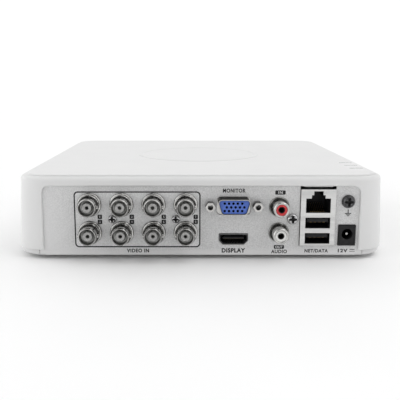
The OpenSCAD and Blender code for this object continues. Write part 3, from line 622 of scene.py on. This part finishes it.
def hole(outline):
    """A cutter through the panel whose edge is eased at the face."""
    flare = 0.14
    cx = (min(p[0] for p in outline) + max(p[0] for p in outline)) / 2
    cz = (min(p[1] for p in outline) + max(p[1] for p in outline)) / 2
    w = max(p[0] for p in outline) - cx
    h = max(p[1] for p in outline) - cz
    loops = []
    for y, grow in ((-1, flare), (0, flare), (0.05, flare * 0.4), (flare, 0), (2, 0)):
        loops.append([(cx + (x - cx) * (1 + grow / w), PANEL_Y + y, cz + (z - cz) * (1 + grow / h))
                      for x, z in outline])
    return loft(loops)


def rect_outline(lo_x, lo_z, hi_x, hi_z, r=0.3, n=4):
    return [((lo_x + hi_x) / 2 + x, (lo_z + hi_z) / 2 + z)
            for x, z in rounded_rect(hi_x - lo_x, hi_z - lo_z, r, n)]


def display_outline(cx, cz, w, h, corner):
    return [(cx + x, cz + z) for x, z in (
        (w / 2, h / 2), (-w / 2, h / 2), (-w / 2, -h / 2 + corner), (-w / 2 + corner, -h / 2),
        (w / 2 - corner, -h / 2), (w / 2, -h / 2 + corner))]


BNC = [middle(f"bnc_shell_{i}") for i in range(1, 9)]
MONITOR = middle("vga_shell")
DISPLAY = middle("display_socket_shell")
AUDIO = {"in": middle("rca_shell_in"), "out": middle("rca_shell_out")}
BLOCK_LO, BLOCK_HI = low("lan_usb_shield"), high("lan_usb_shield")
POWER_LO, POWER_HI = low("dc_jack_housing"), high("dc_jack_housing")
EARTH = middle("ground_screw")
SCREWS = [(-47.2, 22.1), (-13.4, 22.1), (48.7, 22.1)]
JACKSCREW_OFF, JACKSCREW_Z = 12.495, 29.3
DRIVE_Y, DRIVE_HOLE_X, DRIVE_HOLE_HALF = 42.6, (32.2, -12.2), 47.625
JACKSCREW_X = (MONITOR.x - JACKSCREW_OFF, MONITOR.x + JACKSCREW_OFF)


def make_panel():
    top = high("rear_panel").z
    corner = [(x, z) for x, z in rounded_rect(172.8, 2 * (top - 21), 5, 12) if z >= 0]
    outline = [(x, 21 + z) for x, z in corner] + [(-86.4, 2.9), (86.4, 2.9)]
    panel = mesh_object("panel_sheet", *prism(outline, PANEL_Y, PANEL_Y + 0.8))
    holes = [circle(c.x, c.z, 4.85) for c in BNC]
    holes += [rect_outline(MONITOR.x - 8.9, 24.45, MONITOR.x + 8.9, 34.15, 2, 6)]
    holes += [circle(x, JACKSCREW_Z, 1.6, 24) for x in JACKSCREW_X]
    holes += [display_outline(DISPLAY.x, DISPLAY.z, 15.6, 6.1, 2.1)]
    holes += [circle(c.x, c.z, 5.35) for c in AUDIO.values()]
    holes += [circle(x, z, 1.6, 24) for x, z in SCREWS]
    holes += [circle(EARTH.x, EARTH.z, 2.08, 24)]
    x0, x1 = BLOCK_LO.x - 0.25, BLOCK_HI.x + 0.25
    holes += [[(x0, 7.4), (x1, 7.4), (x1, 39.9), (x1 - 1.9, 39.9), (x1 - 2.0, 39.4), (x0 + 2.0, 39.4),
               (x0 + 1.9, 39.9), (x0, 39.9)]]
    holes += [rect_outline(POWER_LO.x - 0.15, 7.5, POWER_HI.x + 0.15, POWER_HI.z + 0.2)]
    cut(panel, *[hole(outline) for outline in holes])
    finish_piece(panel, "base", "panel_paint", ("rear_panel",), sharp=25)
    bend = [(PANEL_Y + 0.9 * (1 - math.sin(a)), 2 + 0.9 * (1 - math.cos(a))) for a in arc_steps(6)]
    bend = bend[::-1] + [(PANEL_Y + 11, 2), (PANEL_Y + 11, 2.8), (PANEL_Y + 0.8, 2.8), (PANEL_Y + 0.8, 2.9)]
    fold = mesh_object("panel_fold", *loft([[(x, y, z) for y, z in bend] for x in (-83.7, 83.7)]))
    finish_piece(fold, "base", "panel_paint")


make_panel()


# ---------------------------------------- sockets
def shade(obj, paint, chosen):
    """Paints shade: gives the faces for which chosen(centre in mm, normal) holds a darker material."""
    obj.data.materials.append(paint)
    index = len(obj.data.materials) - 1
    for face in obj.data.polygons:
        if chosen(face.center * 1000, face.normal):
            face.material_index = index


def bnc_socket(index, centre):
    """Ribbed base, plain barrel with its two bayonet lugs, and a bore for the insulator."""
    reach = 10.7
    shell = [(4.75, -6.5), (4.75, 0.0), (6.35, 0.0), (6.35, 1.1), (6.05, 1.4), (5.3, 1.4), (5.3, 2.1),
             (5.62, 2.3), (5.62, 3.0), (5.3, 3.2), (5.3, 3.4), (5.62, 3.6), (5.62, 4.2), (5.35, 4.4),
             (4.85, 4.5), (4.85, reach - 1.3), (4.72, reach - 0.6), (4.45, reach - 0.1), (4.25, reach),
             (4.1, reach - 0.3), (4.1, 7.6), (3.6, 7.1), (2.42, 6.8), (2.42, -6.5)]
    at = (centre.x, PANEL_Y, centre.z)
    parts = [loft(lathe(softened(shell, 0.13, 3, True), at), closed=True)]
    for s in (-1, 1):
        lug = softened([(0, 0), (1, 0), (1, 0.95), (0, 0.95)], 0.22)
        parts.append(loft(lathe([(0.01, 0), *lug[1:-1], (0.01, 0.95)],
                                (centre.x + s * 4.6, PANEL_Y - reach + 3.4, centre.z), (s, 0, 0), 24)))
    made = mesh_object(f"video_socket_{index}", *joined(*parts))
    finish_piece(made, "base", "nickel", (f"bnc_shell_{index}",), sharp=40)

    def ring(p):
        """Distance from the socket's axis, and height over the panel."""
        return math.hypot(p.x - at[0], p.z - at[2]), at[1] - p.y

    # Painted shade: a darker, rougher nickel down the bore.
    shade(made, BORE_SHADE, lambda p, n: ring(p)[0] < 4.15 and 3.5 < ring(p)[1] < reach - 0.25)
    # Painted shade: near-black nickel in the grooves between the ribs and on the flange's outer rim.
    shade(made, NICKEL_SHADE, lambda p, n: 4.86 < ring(p)[0] < 5.5 and 1.3 < ring(p)[1] < 4.6
          or 6.22 < ring(p)[0] and ring(p)[1] < 1.2)


def bnc_cores():
    insulator = softened([(1.0, -6.4), (2.4, -6.4), (2.4, 9.3), (1.9, 9.3), (1.75, 9.0), (1.0, 9.0)],
                         0.12, 3, True)
    contact = softened([(0.8, 1.0), (0.99, 1.0), (0.99, 3.0), (0.8, 3.0)], 0.06, 2, True)
    sockets = [(c.x, PANEL_Y, c.z) for c in BNC]
    made = mesh_object("video_insulators", *turned(insulator, sockets, segments=64, closed=True))
    finish_piece(made, "base", "dielectric", ("bnc_insulators",))
    made = mesh_object("video_contacts", *turned(contact, sockets, segments=32, closed=True))
    finish_piece(made, "base", "nickel", ("bnc_contacts",))


def audio_socket(name, centre, paint):
    """Metal sleeve, coloured insert and a black liner down its hole."""
    at = (centre.x, PANEL_Y, centre.z)
    reach, r = 9.5, 4.15
    shell = [(4.9, -5), (4.9, -0.8), (5.2, -0.8), (5.2, 0.25), (4.95, 0.55), (4.5, 0.55), (r, 0.9),
             (r, reach - 0.4), (r - 0.4, reach), (3.15, reach), (2.9, reach - 0.25), (2.9, -5)]
    made = mesh_object("audio_sleeve_" + name, *loft(lathe(softened(shell, 0.15, 3, True), at), closed=True))
    finish_piece(made, "base", "nickel", ("rca_shell_" + name,), sharp=40)
    # Painted shade: near-black nickel on the shoulder ring at the sleeve's foot.
    shade(made, NICKEL_SHADE, lambda p, n: 4.1 < math.hypot(p.x - at[0], p.z - at[2]) < 4.98
          and 0.35 < at[1] - p.y < 1.3)
    insert = [(1.72, -4.9), (2.88, -4.9), (2.88, reach - 0.3), (2.05, reach - 0.3), (1.72, reach - 0.65)]
    made = mesh_object("audio_insert_" + name, *loft(lathe(softened(insert, 0.15, 3, True), at), closed=True))
    finish_piece(made, "base", paint, ("rca_insert_" + name,))
    liner = softened([(1.3, 0.3), (1.7, 0.3), (1.7, 8.6), (1.45, 8.6), (1.3, 8.4)], 0.05, 2, True)
    floor = [(0.01, 0.3), (1.4, 0.3), (1.4, 0.6), (0.01, 0.6)]
    made = mesh_object("audio_liner_" + name, *joined(loft(lathe(liner, at, segments=48), closed=True),
                                                      loft(lathe(floor, at, segments=48))))
    finish_piece(made, "base", "black_plastic")


def make_sockets():
    for i, centre in enumerate(BNC):
        bnc_socket(i + 1, centre)
    bnc_cores()
    audio_socket("in", AUDIO["in"], "red_plastic")
    audio_socket("out", AUDIO["out"], "white_plastic")


make_sockets()


# ---------------------------------------- screws
def cross_cutter(centre, out, size, depth):
    """A Phillips recess: four wings that narrow towards the bottom."""
    axis = Vector(out)
    side = axis.orthogonal().normalized()
    other = axis.cross(side)
    side, other = (side + other).normalized(), (other - side).normalized()
    half, thick = size / 2, size * 0.12
    star = [(half, -thick), (half, thick), (thick * 1.5, thick * 1.5), (thick, half), (-thick, half),
            (-thick * 1.5, thick * 1.5), (-half, thick), (-half, -thick), (-thick * 1.5, -thick * 1.5),
            (-thick, -half), (thick, -half), (thick * 1.5, -thick * 1.5)]
    loops = []
    for h, scale in ((-depth, 0.3), (-depth * 0.6, 0.9), (0.0, 1.0), (1.0, 1.0)):
        loops.append([Vector(centre) + axis * h + side * a * scale + other * b * scale for a, b in star])
    return loft(loops)


def screws(name, places, out, head_r, head_h):
    """Pan head screws; places are the seats of their heads. Faces of a recess get the second material, a dark
    painted shade.
    """
    recess = 0.76       # its share of the head's width
    profile = [(0.01, head_h)]
    profile += [(head_r * (0.45 + 0.55 * math.sin(a)), head_h * (0.35 + 0.65 * math.cos(a)))
                for a in arc_steps(8)]
    profile += [(head_r, 0.12), (head_r - 0.1, 0.0), (0.01, 0.0)]
    made = mesh_object(name, *turned(profile, places, out, 64))
    axis = Vector(out)
    cut(made, *[cross_cutter(Vector(at) + axis * head_h, out, head_r * 2 * recess, head_h * 0.8)
                for at in places])
    # Painted shade: the faces inside the cross recess and at its bottom get the dark second material.
    for face in made.data.polygons:
        centre = face.center * 1000
        at = min(map(Vector, places), key=lambda p: (p - centre).length)
        height = (centre - at).dot(axis)
        radius = (centre - at - axis * height).length
        crown = head_h * (0.35 + 0.65 * math.sqrt(max(0, 1 - min(1, radius / head_r) ** 2)))
        under = 0.1 < height < crown - 0.12 * head_h and radius < head_r * recess
        at_bottom = abs(height - 0.2 * head_h) < 0.02
        if under and face.normal.dot(axis) < 0.93 or at_bottom:
            face.material_index = 1
    return made


def finish_screws(obj, body, slot, replaced=()):
    finish_piece(obj, body, slot, replaced, sharp=40)
    # The second material is painted shade for the cross recesses.
    obj.data.materials.append(RECESS_SHADE)


def thread(r, core, length, pitch):
    """Profile of a threaded shank that runs back from its head."""
    profile = [(0.01, 0.1), (r, 0.1)]
    h = -0.3
    while h > -length + pitch:
        profile += [(core, h), (r, h - pitch / 2)]
        h -= pitch
    return profile + [(core * 0.7, -length), (0.01, -length)]


BOARD_POSTS = [(-70, -72), (-70, -26), (4, -26), (78, -26), (44, -50), (88, -76)]
CAPACITORS = [(66, -64), (78, -46), (66, -46), (-56, -40)]


def make_screws():
    outward, up, down = (0, -1, 0), (0, 0, 1), (0, 0, -1)
    small = screws("panel_screw_heads", [(x, PANEL_Y, z) for x, z in SCREWS[:2]], outward, 2.2, 1.5)
    finish_screws(small, "base", "zinc_steel")
    large = screws("audio_screw_head", [(x, PANEL_Y, z) for x, z in SCREWS[2:]], outward, 2.85, 1.9)
    finish_screws(large, "base", "zinc_steel", ("panel_screws",))
    seat = low("ground_screw").y + 2.0
    earth = screws("earth_screw_head", [(EARTH.x, seat, EARTH.z)], outward, 3.2, 2.0)
    shank = mesh_object("earth_screw_shank", *turned(thread(2.0, 1.7, 6.5, 0.7), [(EARTH.x, seat, EARTH.z)],
                                                     outward, 32))
    finish_piece(shank, "ground_screw", "black_steel")
    finish_screws(earth, "ground_screw", "black_steel", ("ground_screw",))
    corners = [(sx * BOSS_X, CASE_Y + sy * BOSS_Y, 4.6) for sx in (-1, 1) for sy in (-1, 1)]
    bottom = screws("cover_screw_heads", corners, down, 2.8, 2.0)
    shanks = mesh_object("cover_screw_shanks", *turned(thread(1.5, 1.25, 14, 1.0), corners, down, 24))
    finish_piece(shanks, "base", "zinc_steel")
    finish_screws(bottom, "base", "zinc_steel", ("cover_screws",))
    board = screws("board_screw_heads", [(x, CASE_Y + y, BOARD_Z) for x, y in BOARD_POSTS], up, 2.4, 1.6)
    finish_screws(board, "base", "zinc_steel", ("board_screws",))
    places = [(x, CASE_Y + DRIVE_Y + s * DRIVE_HOLE_HALF, 3.8) for x in DRIVE_HOLE_X for s in (-1, 1)]
    drive = screws("drive_screw_heads", places, down, 3.1, 1.5)
    finish_screws(drive, "base", "zinc_steel", ("drive_screws",))


make_screws()


# ---------------------------------------- legends
def words(text, x, z, w, h, bold=0.04):
    """Triangles of a word centred at x, z on the panel, w wide and h high."""
    curve = bpy.data.curves.new("word", "FONT")
    curve.body = text
    curve.size = 1
    curve.offset = bold
    curve.space_character = 1.14
    curve.fill_mode = "FRONT"
    holder = bpy.data.objects.new("word", curve)
    bpy.context.scene.collection.objects.link(holder)
    data = evaluated(holder)
    points = [v.co.copy() for v in data.vertices]
    faces = [tuple(p.vertices) for p in data.polygons]
    bpy.data.objects.remove(holder)
    x0, x1 = min(p.x for p in points), max(p.x for p in points)
    y0, y1 = min(p.y for p in points), max(p.y for p in points)
    return [(x + ((p.x - x0) / (x1 - x0) - 0.5) * w, 0, z + ((p.y - y0) / (y1 - y0) - 0.5) * h)
            for p in points], faces


def flat(outline):
    return [(x, 0, z) for x, z in outline], [tuple(range(len(outline)))]


def outline_ring(outer, inner):
    n = len(outer)
    verts = [(x, 0, z) for x, z in outer + inner]
    return verts, [(k, (k + 1) % n, n + (k + 1) % n, n + k) for k in range(n)]


def printed(name, paint, lift, *shapes):
    """A thin film of ink on the panel, lift in front of its face."""
    verts, faces = joined(*shapes)
    made = mesh_object(name, [(x, PANEL_Y - lift, z) for x, _, z in verts], faces)
    for face in made.data.polygons:
        if face.normal.y > 0:
            face.flip()
    film = made.modifiers.new("film", "SOLIDIFY")
    film.thickness, film.offset = mm(0.02), -1
    baked(made)
    made.data.materials.append(paint)
    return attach(made, "base")


def line(x0, z0, x1, z1, width):
    a, b = Vector((x0, z0)), Vector((x1, z1))
    n = (b - a).normalized().orthogonal() * width / 2
    return flat([tuple(a + n), tuple(a - n), tuple(b - n), tuple(b + n)])


def make_legends():
    field = rect_outline(-67.4, 6.5, -0.25, 37.0, 2.2, 8)
    printed("video_field", LIGHT_PAINT, 0.010, flat(field))
    frame_line = outline_ring(field, rect_outline(-66.7, 7.2, -0.95, 36.3, 1.6, 8))
    tags = [(c.x + 5.4, 23.25 if i % 2 == 0 else 20.5) for i, c in enumerate(BNC)]
    plates = [flat(rect_outline(x - 1.2, z - 1.2, x + 1.2, z + 1.2, 0.4)) for x, z in tags]
    plates += [flat(rect_outline(39.15, 35.25, 44.65, 37.5, 0.5)),
               flat(rect_outline(39.15, 5.65, 44.65, 7.8, 0.5))]
    x, z = EARTH.x + 0.2, 25.6
    earth = [line(x, z + 1.7, x, z - 0.5, 0.5), line(x - 1.7, z - 0.5, x + 1.7, z - 0.5, 0.45),
             line(x - 1.1, z - 1.2, x + 1.1, z - 1.2, 0.4), line(x - 0.5, z - 1.8, x + 0.5, z - 1.8, 0.4)]
    supply = [line(79.9, 5.35, 82.6, 5.35, 0.36), line(79.9, 4.3, 80.6, 4.3, 0.36),
              line(80.9, 4.3, 81.6, 4.3, 0.36), line(81.9, 4.3, 82.6, 4.3, 0.36)]
    printed("panel_legends", INK, 0.020, frame_line, *plates, *earth, *supply,
            words("VIDEO IN", -33.8, 4.7, 11.9, 2.1),
            words("MONITOR", 17.5, 37.4, 12.0, 2.2),
            words("DISPLAY", 17.5, 4.8, 12.6, 2.5, 0.05),
            words("AUDIO", 42.0, 4.2, 8.5, 2.0),
            words("NET/DATA", 62.0, 4.6, 12.6, 2.0),
            words("12V", 76.2, 4.7, 5.2, 2.0))
    digits = [words(str(i + 1), x, z, 0.3 if i == 0 else 0.62, 1.15, 0.0) for i, (x, z) in enumerate(tags)]
    printed("reversed_legends", LIGHT_PAINT, 0.030, *digits, words("IN", 41.9, 36.4, 2.3, 1.35, 0.02),
            words("OUT", 41.9, 6.7, 4.0, 1.35, 0.02))


make_legends()


# ---------------------------------------- contacts inside the sockets
def make_contacts():
    """Gold contacts of the network, data and display sockets."""
    x = (BLOCK_LO.x + BLOCK_HI.x) / 2
    parts = []
    for i in range(8):
        at = x + (i - 3.5) * 1.02
        parts.append(loft([[(at - 0.18, PANEL_Y + y, z), (at + 0.18, PANEL_Y + y, z),
                            (at + 0.18, PANEL_Y + y, z + 0.3), (at - 0.18, PANEL_Y + y, z + 0.3)]
                           for y, z in ((1, 25.65), (3, 26.2), (7, 28.4), (9, 29))]))
    for z in (20.1, 11.7):
        for i in range(4):
            at = x + (i - 1.5) * 2.3
            parts.append(box((at - 0.6, PANEL_Y + 0.6, z + 0.12), (at + 0.6, PANEL_Y + 8.5, z + 0.34)))
    for i in range(10):
        at = DISPLAY.x + (i - 4.5) * 1.0
        parts.append(box((at - 0.22, PANEL_Y + 0.8, DISPLAY.z - 0.12),
                         (at + 0.22, PANEL_Y + 8, DISPLAY.z + 0.06)))
    made = mesh_object("socket_contacts", *joined(*parts))
    finish_piece(made, "base", paint=GOLD)


make_contacts()


# ---------------------------------------- rounded copies of CAD nodes
for name, width in {
        "base_tray": 0.3, "light_guide": 0.12, "rubber_feet": 0.4, "vga_shell": 0.1, "vga_jackscrews": 0.15,
        "display_socket_shell": 0.08, "display_socket_tongue": 0.1, "lan_usb_shield": 0.1,
        "lan_usb_core": 0.08,
        "usb_tongue_upper": 0.15, "usb_tongue_lower": 0.15, "dc_jack_housing": 0.3, "dc_jack_pin": 0.15,
        "ground_washer": 0.08, "vga_insert": 0.1, "bnc_housing_left": 0.4, "bnc_housing_right": 0.4,
        "vga_housing": 0.3, "rca_housing": 0.4, "main_board": 0.1, "main_chip": 0.15, "heatsink": 0.15,
        "memory_chips": 0.12, "coin_cell": 0.35, "coin_cell_holder": 0.25, "buzzer": 0.4, "status_leds": 0.1,
        "drive_headers": 0.2, "lead_plugs": 0.35, "drive_casting": 0.4, "drive_lid": 0.3,
        "drive_platters": 0.15,
        "drive_actuator": 0.15, "drive_board": 0.1, "drive_connector": 0.2}.items():
    refined(name, width)


PIN_PITCH, ROW_PITCH = 2.29, 1.98


def make_monitor_details():
    """Contact holes with painted shade inside, and painted shade on the sides of the socket's shell and
    jackscrews.
    """
    insert, shell, nuts = (bpy.data.objects[name + "_shape"]
                           for name in ("vga_insert", "vga_shell", "vga_jackscrews"))
    face_y, centre = low("vga_insert").y, middle("vga_insert")
    hole_profile = [(0.01, -4.0), (0.68, -4.0), (0.68, 0.5), (0.01, 0.5)]
    cut(insert, *[loft(lathe(hole_profile, (centre.x + (i - 2) * PIN_PITCH + (0.62 if row == 0 else -0.5),
                                            face_y, centre.z + row * ROW_PITCH), segments=20))
                  for row in (-1, 0, 1) for i in range(5)])
    # Painted shade down the contact holes.
    shade(insert, RECESS_SHADE, lambda p, n: p.y > face_y + 0.25)
    # Painted shade on the shell's outer sides.
    shade(shell, RECESS_SHADE, lambda p, n: n.y > -0.4)
    # Painted shade on the jackscrews' sides, and darker painted shade in their holes.
    shade(nuts, NICKEL_SHADE, lambda p, n: n.y > -0.4)
    shade(nuts, RECESS_SHADE, lambda p, n: n.y > -0.9 and min(
        math.hypot(p.x - centre.x - side * JACKSCREW_OFF, p.z - centre.z) for side in (-1, 1)) < 1.62)


make_monitor_details()


# ---------------------------------------- inside the casing
def spline(p, i, t):
    """The point a share t along the smooth curve from p[i] to p[i + 1]."""
    a, b, c, d = (Vector(p[k]) for k in (max(i - 1, 0), i, i + 1, min(i + 2, len(p) - 1)))
    return 0.5 * (2 * b + (c - a) * t + (2 * a - 5 * b + 4 * c - d) * t ** 2
                  + (3 * b - a - 3 * c + d) * t ** 3)


def route(points, steps):
    return [spline(points, i, k / steps)
            for i in range(len(points) - 1) for k in range(steps)] + [Vector(points[-1])]


WIRE_LENGTHS = (0.149, 0.158, 0.167, 0.176)  # metres, lowest wire first


def lead(name, points, across, section, slot, paint=None, replaced=()):
    """A lead with that section along the route, whose points are in the casing's own frame.
    across is the direction of the section's width at each point."""
    steps = 10
    line = [p + Vector((0, CASE_Y, 0)) for p in route(points, steps)]
    side = route(across, steps)
    loops = []
    for i, at in enumerate(line):
        ahead = (line[min(i + 1, len(line) - 1)] - line[max(i - 1, 0)]).normalized()
        v = ahead.cross(side[i]).normalized()
        u = v.cross(ahead)
        loops.append([at + u * x + v * y for x, y in section])
    made = mesh_object(name, *loft(loops))
    finish_piece(made, "base", slot, replaced, paint, sharp=50)


def make_leads():
    """The data lead is flat with a rib over each pair; the power lead is four separate wires."""
    ribbed = [(-3.6, 0.0), (-3.5, 0.35), (-3.1, 0.55), (-2.3, 0.62), (-1.5, 0.6), (-0.9, 0.45), (0.0, 0.36),
              (0.9, 0.45), (1.5, 0.6), (2.3, 0.62), (3.1, 0.55), (3.5, 0.35), (3.6, 0.0)]
    ribbed += [(x, -y) for x, y in reversed(ribbed[1:-1])]
    data = [(58, -30, 19.9), (58, -30, 24.5), (64, -24, 28.5), (76, -13, 29), (83, 0, 27.5), (84, 14, 24.5),
            (82.8, 28, 20), (82, 34.6, 15.5), (82, 34.6, 11)]
    across = [(1, 0, 0), (1, 0, 0), (0.8, -0.6, 0), (0.7, -0.7, 0), (0.9, -0.4, 0), (1, 0, 0), (0.8, -0.6, 0),
              (0, -1, 0), (0, -1, 0)]
    lead("data_lead_strip", data, across, ribbed, "red_sheath", replaced=("data_lead",))
    wire = [(0.8 * math.cos(a), 0.8 * math.sin(a)) for a in (math.tau * k / 16 for k in range(16))]
    paints = [YELLOW_WIRE, None, None, RED_WIRE]
    for k, length in enumerate(WIRE_LENGTHS):
        x, y, rise = 23.6 - 2.4 * k, 52.4 + 2.8 * k, 2.3 * k
        power = [(x, -32, 19.9), (x, -32, 24 + rise), (x + 5.5, -31, 31 + rise), (56, -25, 31.5 + rise),
                 (83, -12, 31 + rise), (91, 12, 27 + rise), (92.2, y - 14, 20 + rise),
                 (92.6, y - 3, 13 + 0.5 * rise), (89.5, y, 9.4), (85.1, y, 9.4)]
        lead(f"power_wire_{k + 1}", power, [(0, 1, 0)] * 2 + [(0, 0, 1)] * 8, wire,
             "wire_sheath", paints[k], ("power_lead",))


def make_capacitors():
    """Cans with a rolled groove and a vent cross scored in the top."""
    can = [(0.01, 11.3), (3.1, 11.3), (3.35, 11.5), (3.8, 11.5), (4.0, 11.2), (4.0, 10.4), (3.98, 1.9),
           (3.7, 1.5), (3.7, 1.2), (4.0, 0.9), (4.0, 0.0), (0.01, 0.0)]
    places = [(x, CASE_Y + y, BOARD_Z) for x, y in CAPACITORS]
    made = mesh_object("capacitor_cans", *turned(can, places, (0, 0, 1), 48))
    cut(made, *[box((x - w, y - d, z + 11.1), (x + w, y + d, z + 12))
                for w, d in ((2.6, 0.15), (0.15, 2.6)) for x, y, z in places])
    finish_piece(made, "base", "can_aluminium", ("capacitors",), sharp=40)


def make_small_parts():
    """Chip capacitors, resistors and small circuits scattered over the free parts of the board."""
    rng = random.Random(7)
    taken = []
    for name in ("main_chip", "heatsink", "memory_chips", "capacitors", "coin_cell_holder", "buzzer",
                 "drive_headers", "bnc_housing_left", "bnc_housing_right", "vga_housing", "rca_housing",
                 "lan_usb_core", "dc_jack_housing", "status_leds"):
        lo, hi = low(name), high(name)
        area = (hi.x - lo.x + 2) * (hi.y - lo.y + 2)
        if area < 2500:     # a larger box holds several parts that are far apart
            taken.append((lo.x - 1, lo.y - 1, hi.x + 1, hi.y + 1))
    taken += [(x - 4.5, CASE_Y + y - 4.5, x + 4.5, CASE_Y + y + 4.5) for x, y in
              BOARD_POSTS + CAPACITORS + [(24, -60), (24, -43)]]
    taken += [(15, CASE_Y - 67, 33, CASE_Y - 37), (48, CASE_Y - 35, 68, CASE_Y - 25),
              (12, CASE_Y - 37, 28, CASE_Y - 27)]
    lo, hi = low("main_board"), high("main_board")
    bodies, ends, chips = [], [], []
    # width, depth, height and whether it is a circuit with legs, as often as it is listed
    kinds = [(1.6, 0.8, 0.7, False)] * 9 + [(2.0, 1.25, 0.8, False)] * 4
    kinds += [(5.0, 4.0, 1.3, True), (3.0, 1.7, 1.1, True), (6.6, 6.6, 3.0, True)]
    for _ in range(900):
        if len(bodies) + len(chips) > 150:
            break
        w, d, h, legs = rng.choice(kinds)
        if rng.random() < 0.5:
            w, d = d, w
        x, y = rng.uniform(lo.x + 3, 80), rng.uniform(lo.y + 19, hi.y - 3)
        area = (x - w / 2 - 0.6, y - d / 2 - 0.6, x + w / 2 + 0.6, y + d / 2 + 0.6)
        if any(area[0] < t[2] and area[2] > t[0] and area[1] < t[3] and area[3] > t[1] for t in taken):
            continue
        taken.append(area)
        if legs:
            chips.append(box((x - w / 2, y - d / 2, BOARD_Z + 0.1), (x + w / 2, y + d / 2, BOARD_Z + h)))
            count = max(2, int(w / 1.27))
            for side in (-1, 1):
                for k in range(count):
                    px = x + (k - (count - 1) / 2) * 1.1
                    py = y + side * d / 2
                    ends.append(box((px - 0.2, py - 0.45, BOARD_Z), (px + 0.2, py + 0.45, BOARD_Z + 0.25)))
            continue
        bodies.append(box((x - w / 2 + 0.25, y - d / 2 + 0.02, BOARD_Z),
                          (x + w / 2 - 0.25, y + d / 2 - 0.02, BOARD_Z + h)))
        for side in (-1, 1):
            ends.append(box((x + side * (w / 2 - 0.16) - 0.16, y - d / 2, BOARD_Z),
                            (x + side * (w / 2 - 0.16) + 0.16, y + d / 2, BOARD_Z + h + 0.02)))
    for name, shapes, paint in (("chip_capacitors", bodies, CERAMIC),
                                ("solder_ends", ends, MATERIALS["shield_steel"]),
                                ("small_circuits", chips, MATERIALS["chip_epoxy"])):
        made = mesh_object(name, *joined(*shapes))
        bevel(made, 0.06, 1)
        baked(made)
        finish_piece(made, "base", paint=paint)


def make_drive_details():
    """Pressed beads, screws and a blank label on the drive's lid."""
    lo, hi = low("drive_lid"), high("drive_lid")
    cx, cy, top = (lo.x + hi.x) / 2, (lo.y + hi.y) / 2, hi.z
    holes = [(-68, -45), (-68, 45), (68, -45), (68, 45), (0, 47.5), (36, 2)]
    heads = screws("lid_screw_heads", [(cx + x, cy + y, top) for x, y in holes], (0, 0, 1), 1.9, 0.8)
    finish_screws(heads, "base", "zinc_steel")
    bead = [(-0.05, -0.2), (-0.05, 0.0), (0.05, 0.18), (0.5, 0.3), (1.1, 0.3), (1.55, 0.18), (1.65, 0.0),
            (1.65, -0.2)]
    rings = [loft(lathe([(r + x, h) for x, h in bead], at, (0, 0, 1), segments), closed=True)
             for r, at, segments in ((24, (cx - 20, cy, top), 96), (9, (cx + 42, cy - 30, top), 48))]
    outline = rounded_rect(hi.x - lo.x - 9, hi.y - lo.y - 9, 6, 8)
    inner = rounded_rect(hi.x - lo.x - 13, hi.y - lo.y - 13, 4.5, 8)
    loops = []
    for share, z in ((0, -0.2), (0.08, 0.0), (0.35, 0.28), (0.65, 0.28), (0.92, 0.0), (1, -0.2)):
        loops.append([(cx + a[0] * (1 - share) + b[0] * share,
                       cy + a[1] * (1 - share) + b[1] * share, top + z) for a, b in zip(outline, inner)])
    rings.append(loft(loops, closed=True))
    made = mesh_object("lid_beads", *joined(*rings))
    finish_piece(made, "base", "lid_steel", sharp=60)
    label = [(cx + 36 + x, cy + 24 + y) for x, y in rounded_rect(48, 34, 2, 6)]
    made = mesh_object("blank_label", *loft([[(x, y, top + z) for x, y in label] for z in (0.0, 0.12)]))
    finish_piece(made, "base", paint=LABEL)


make_leads()
make_capacitors()
make_small_parts()
make_drive_details()
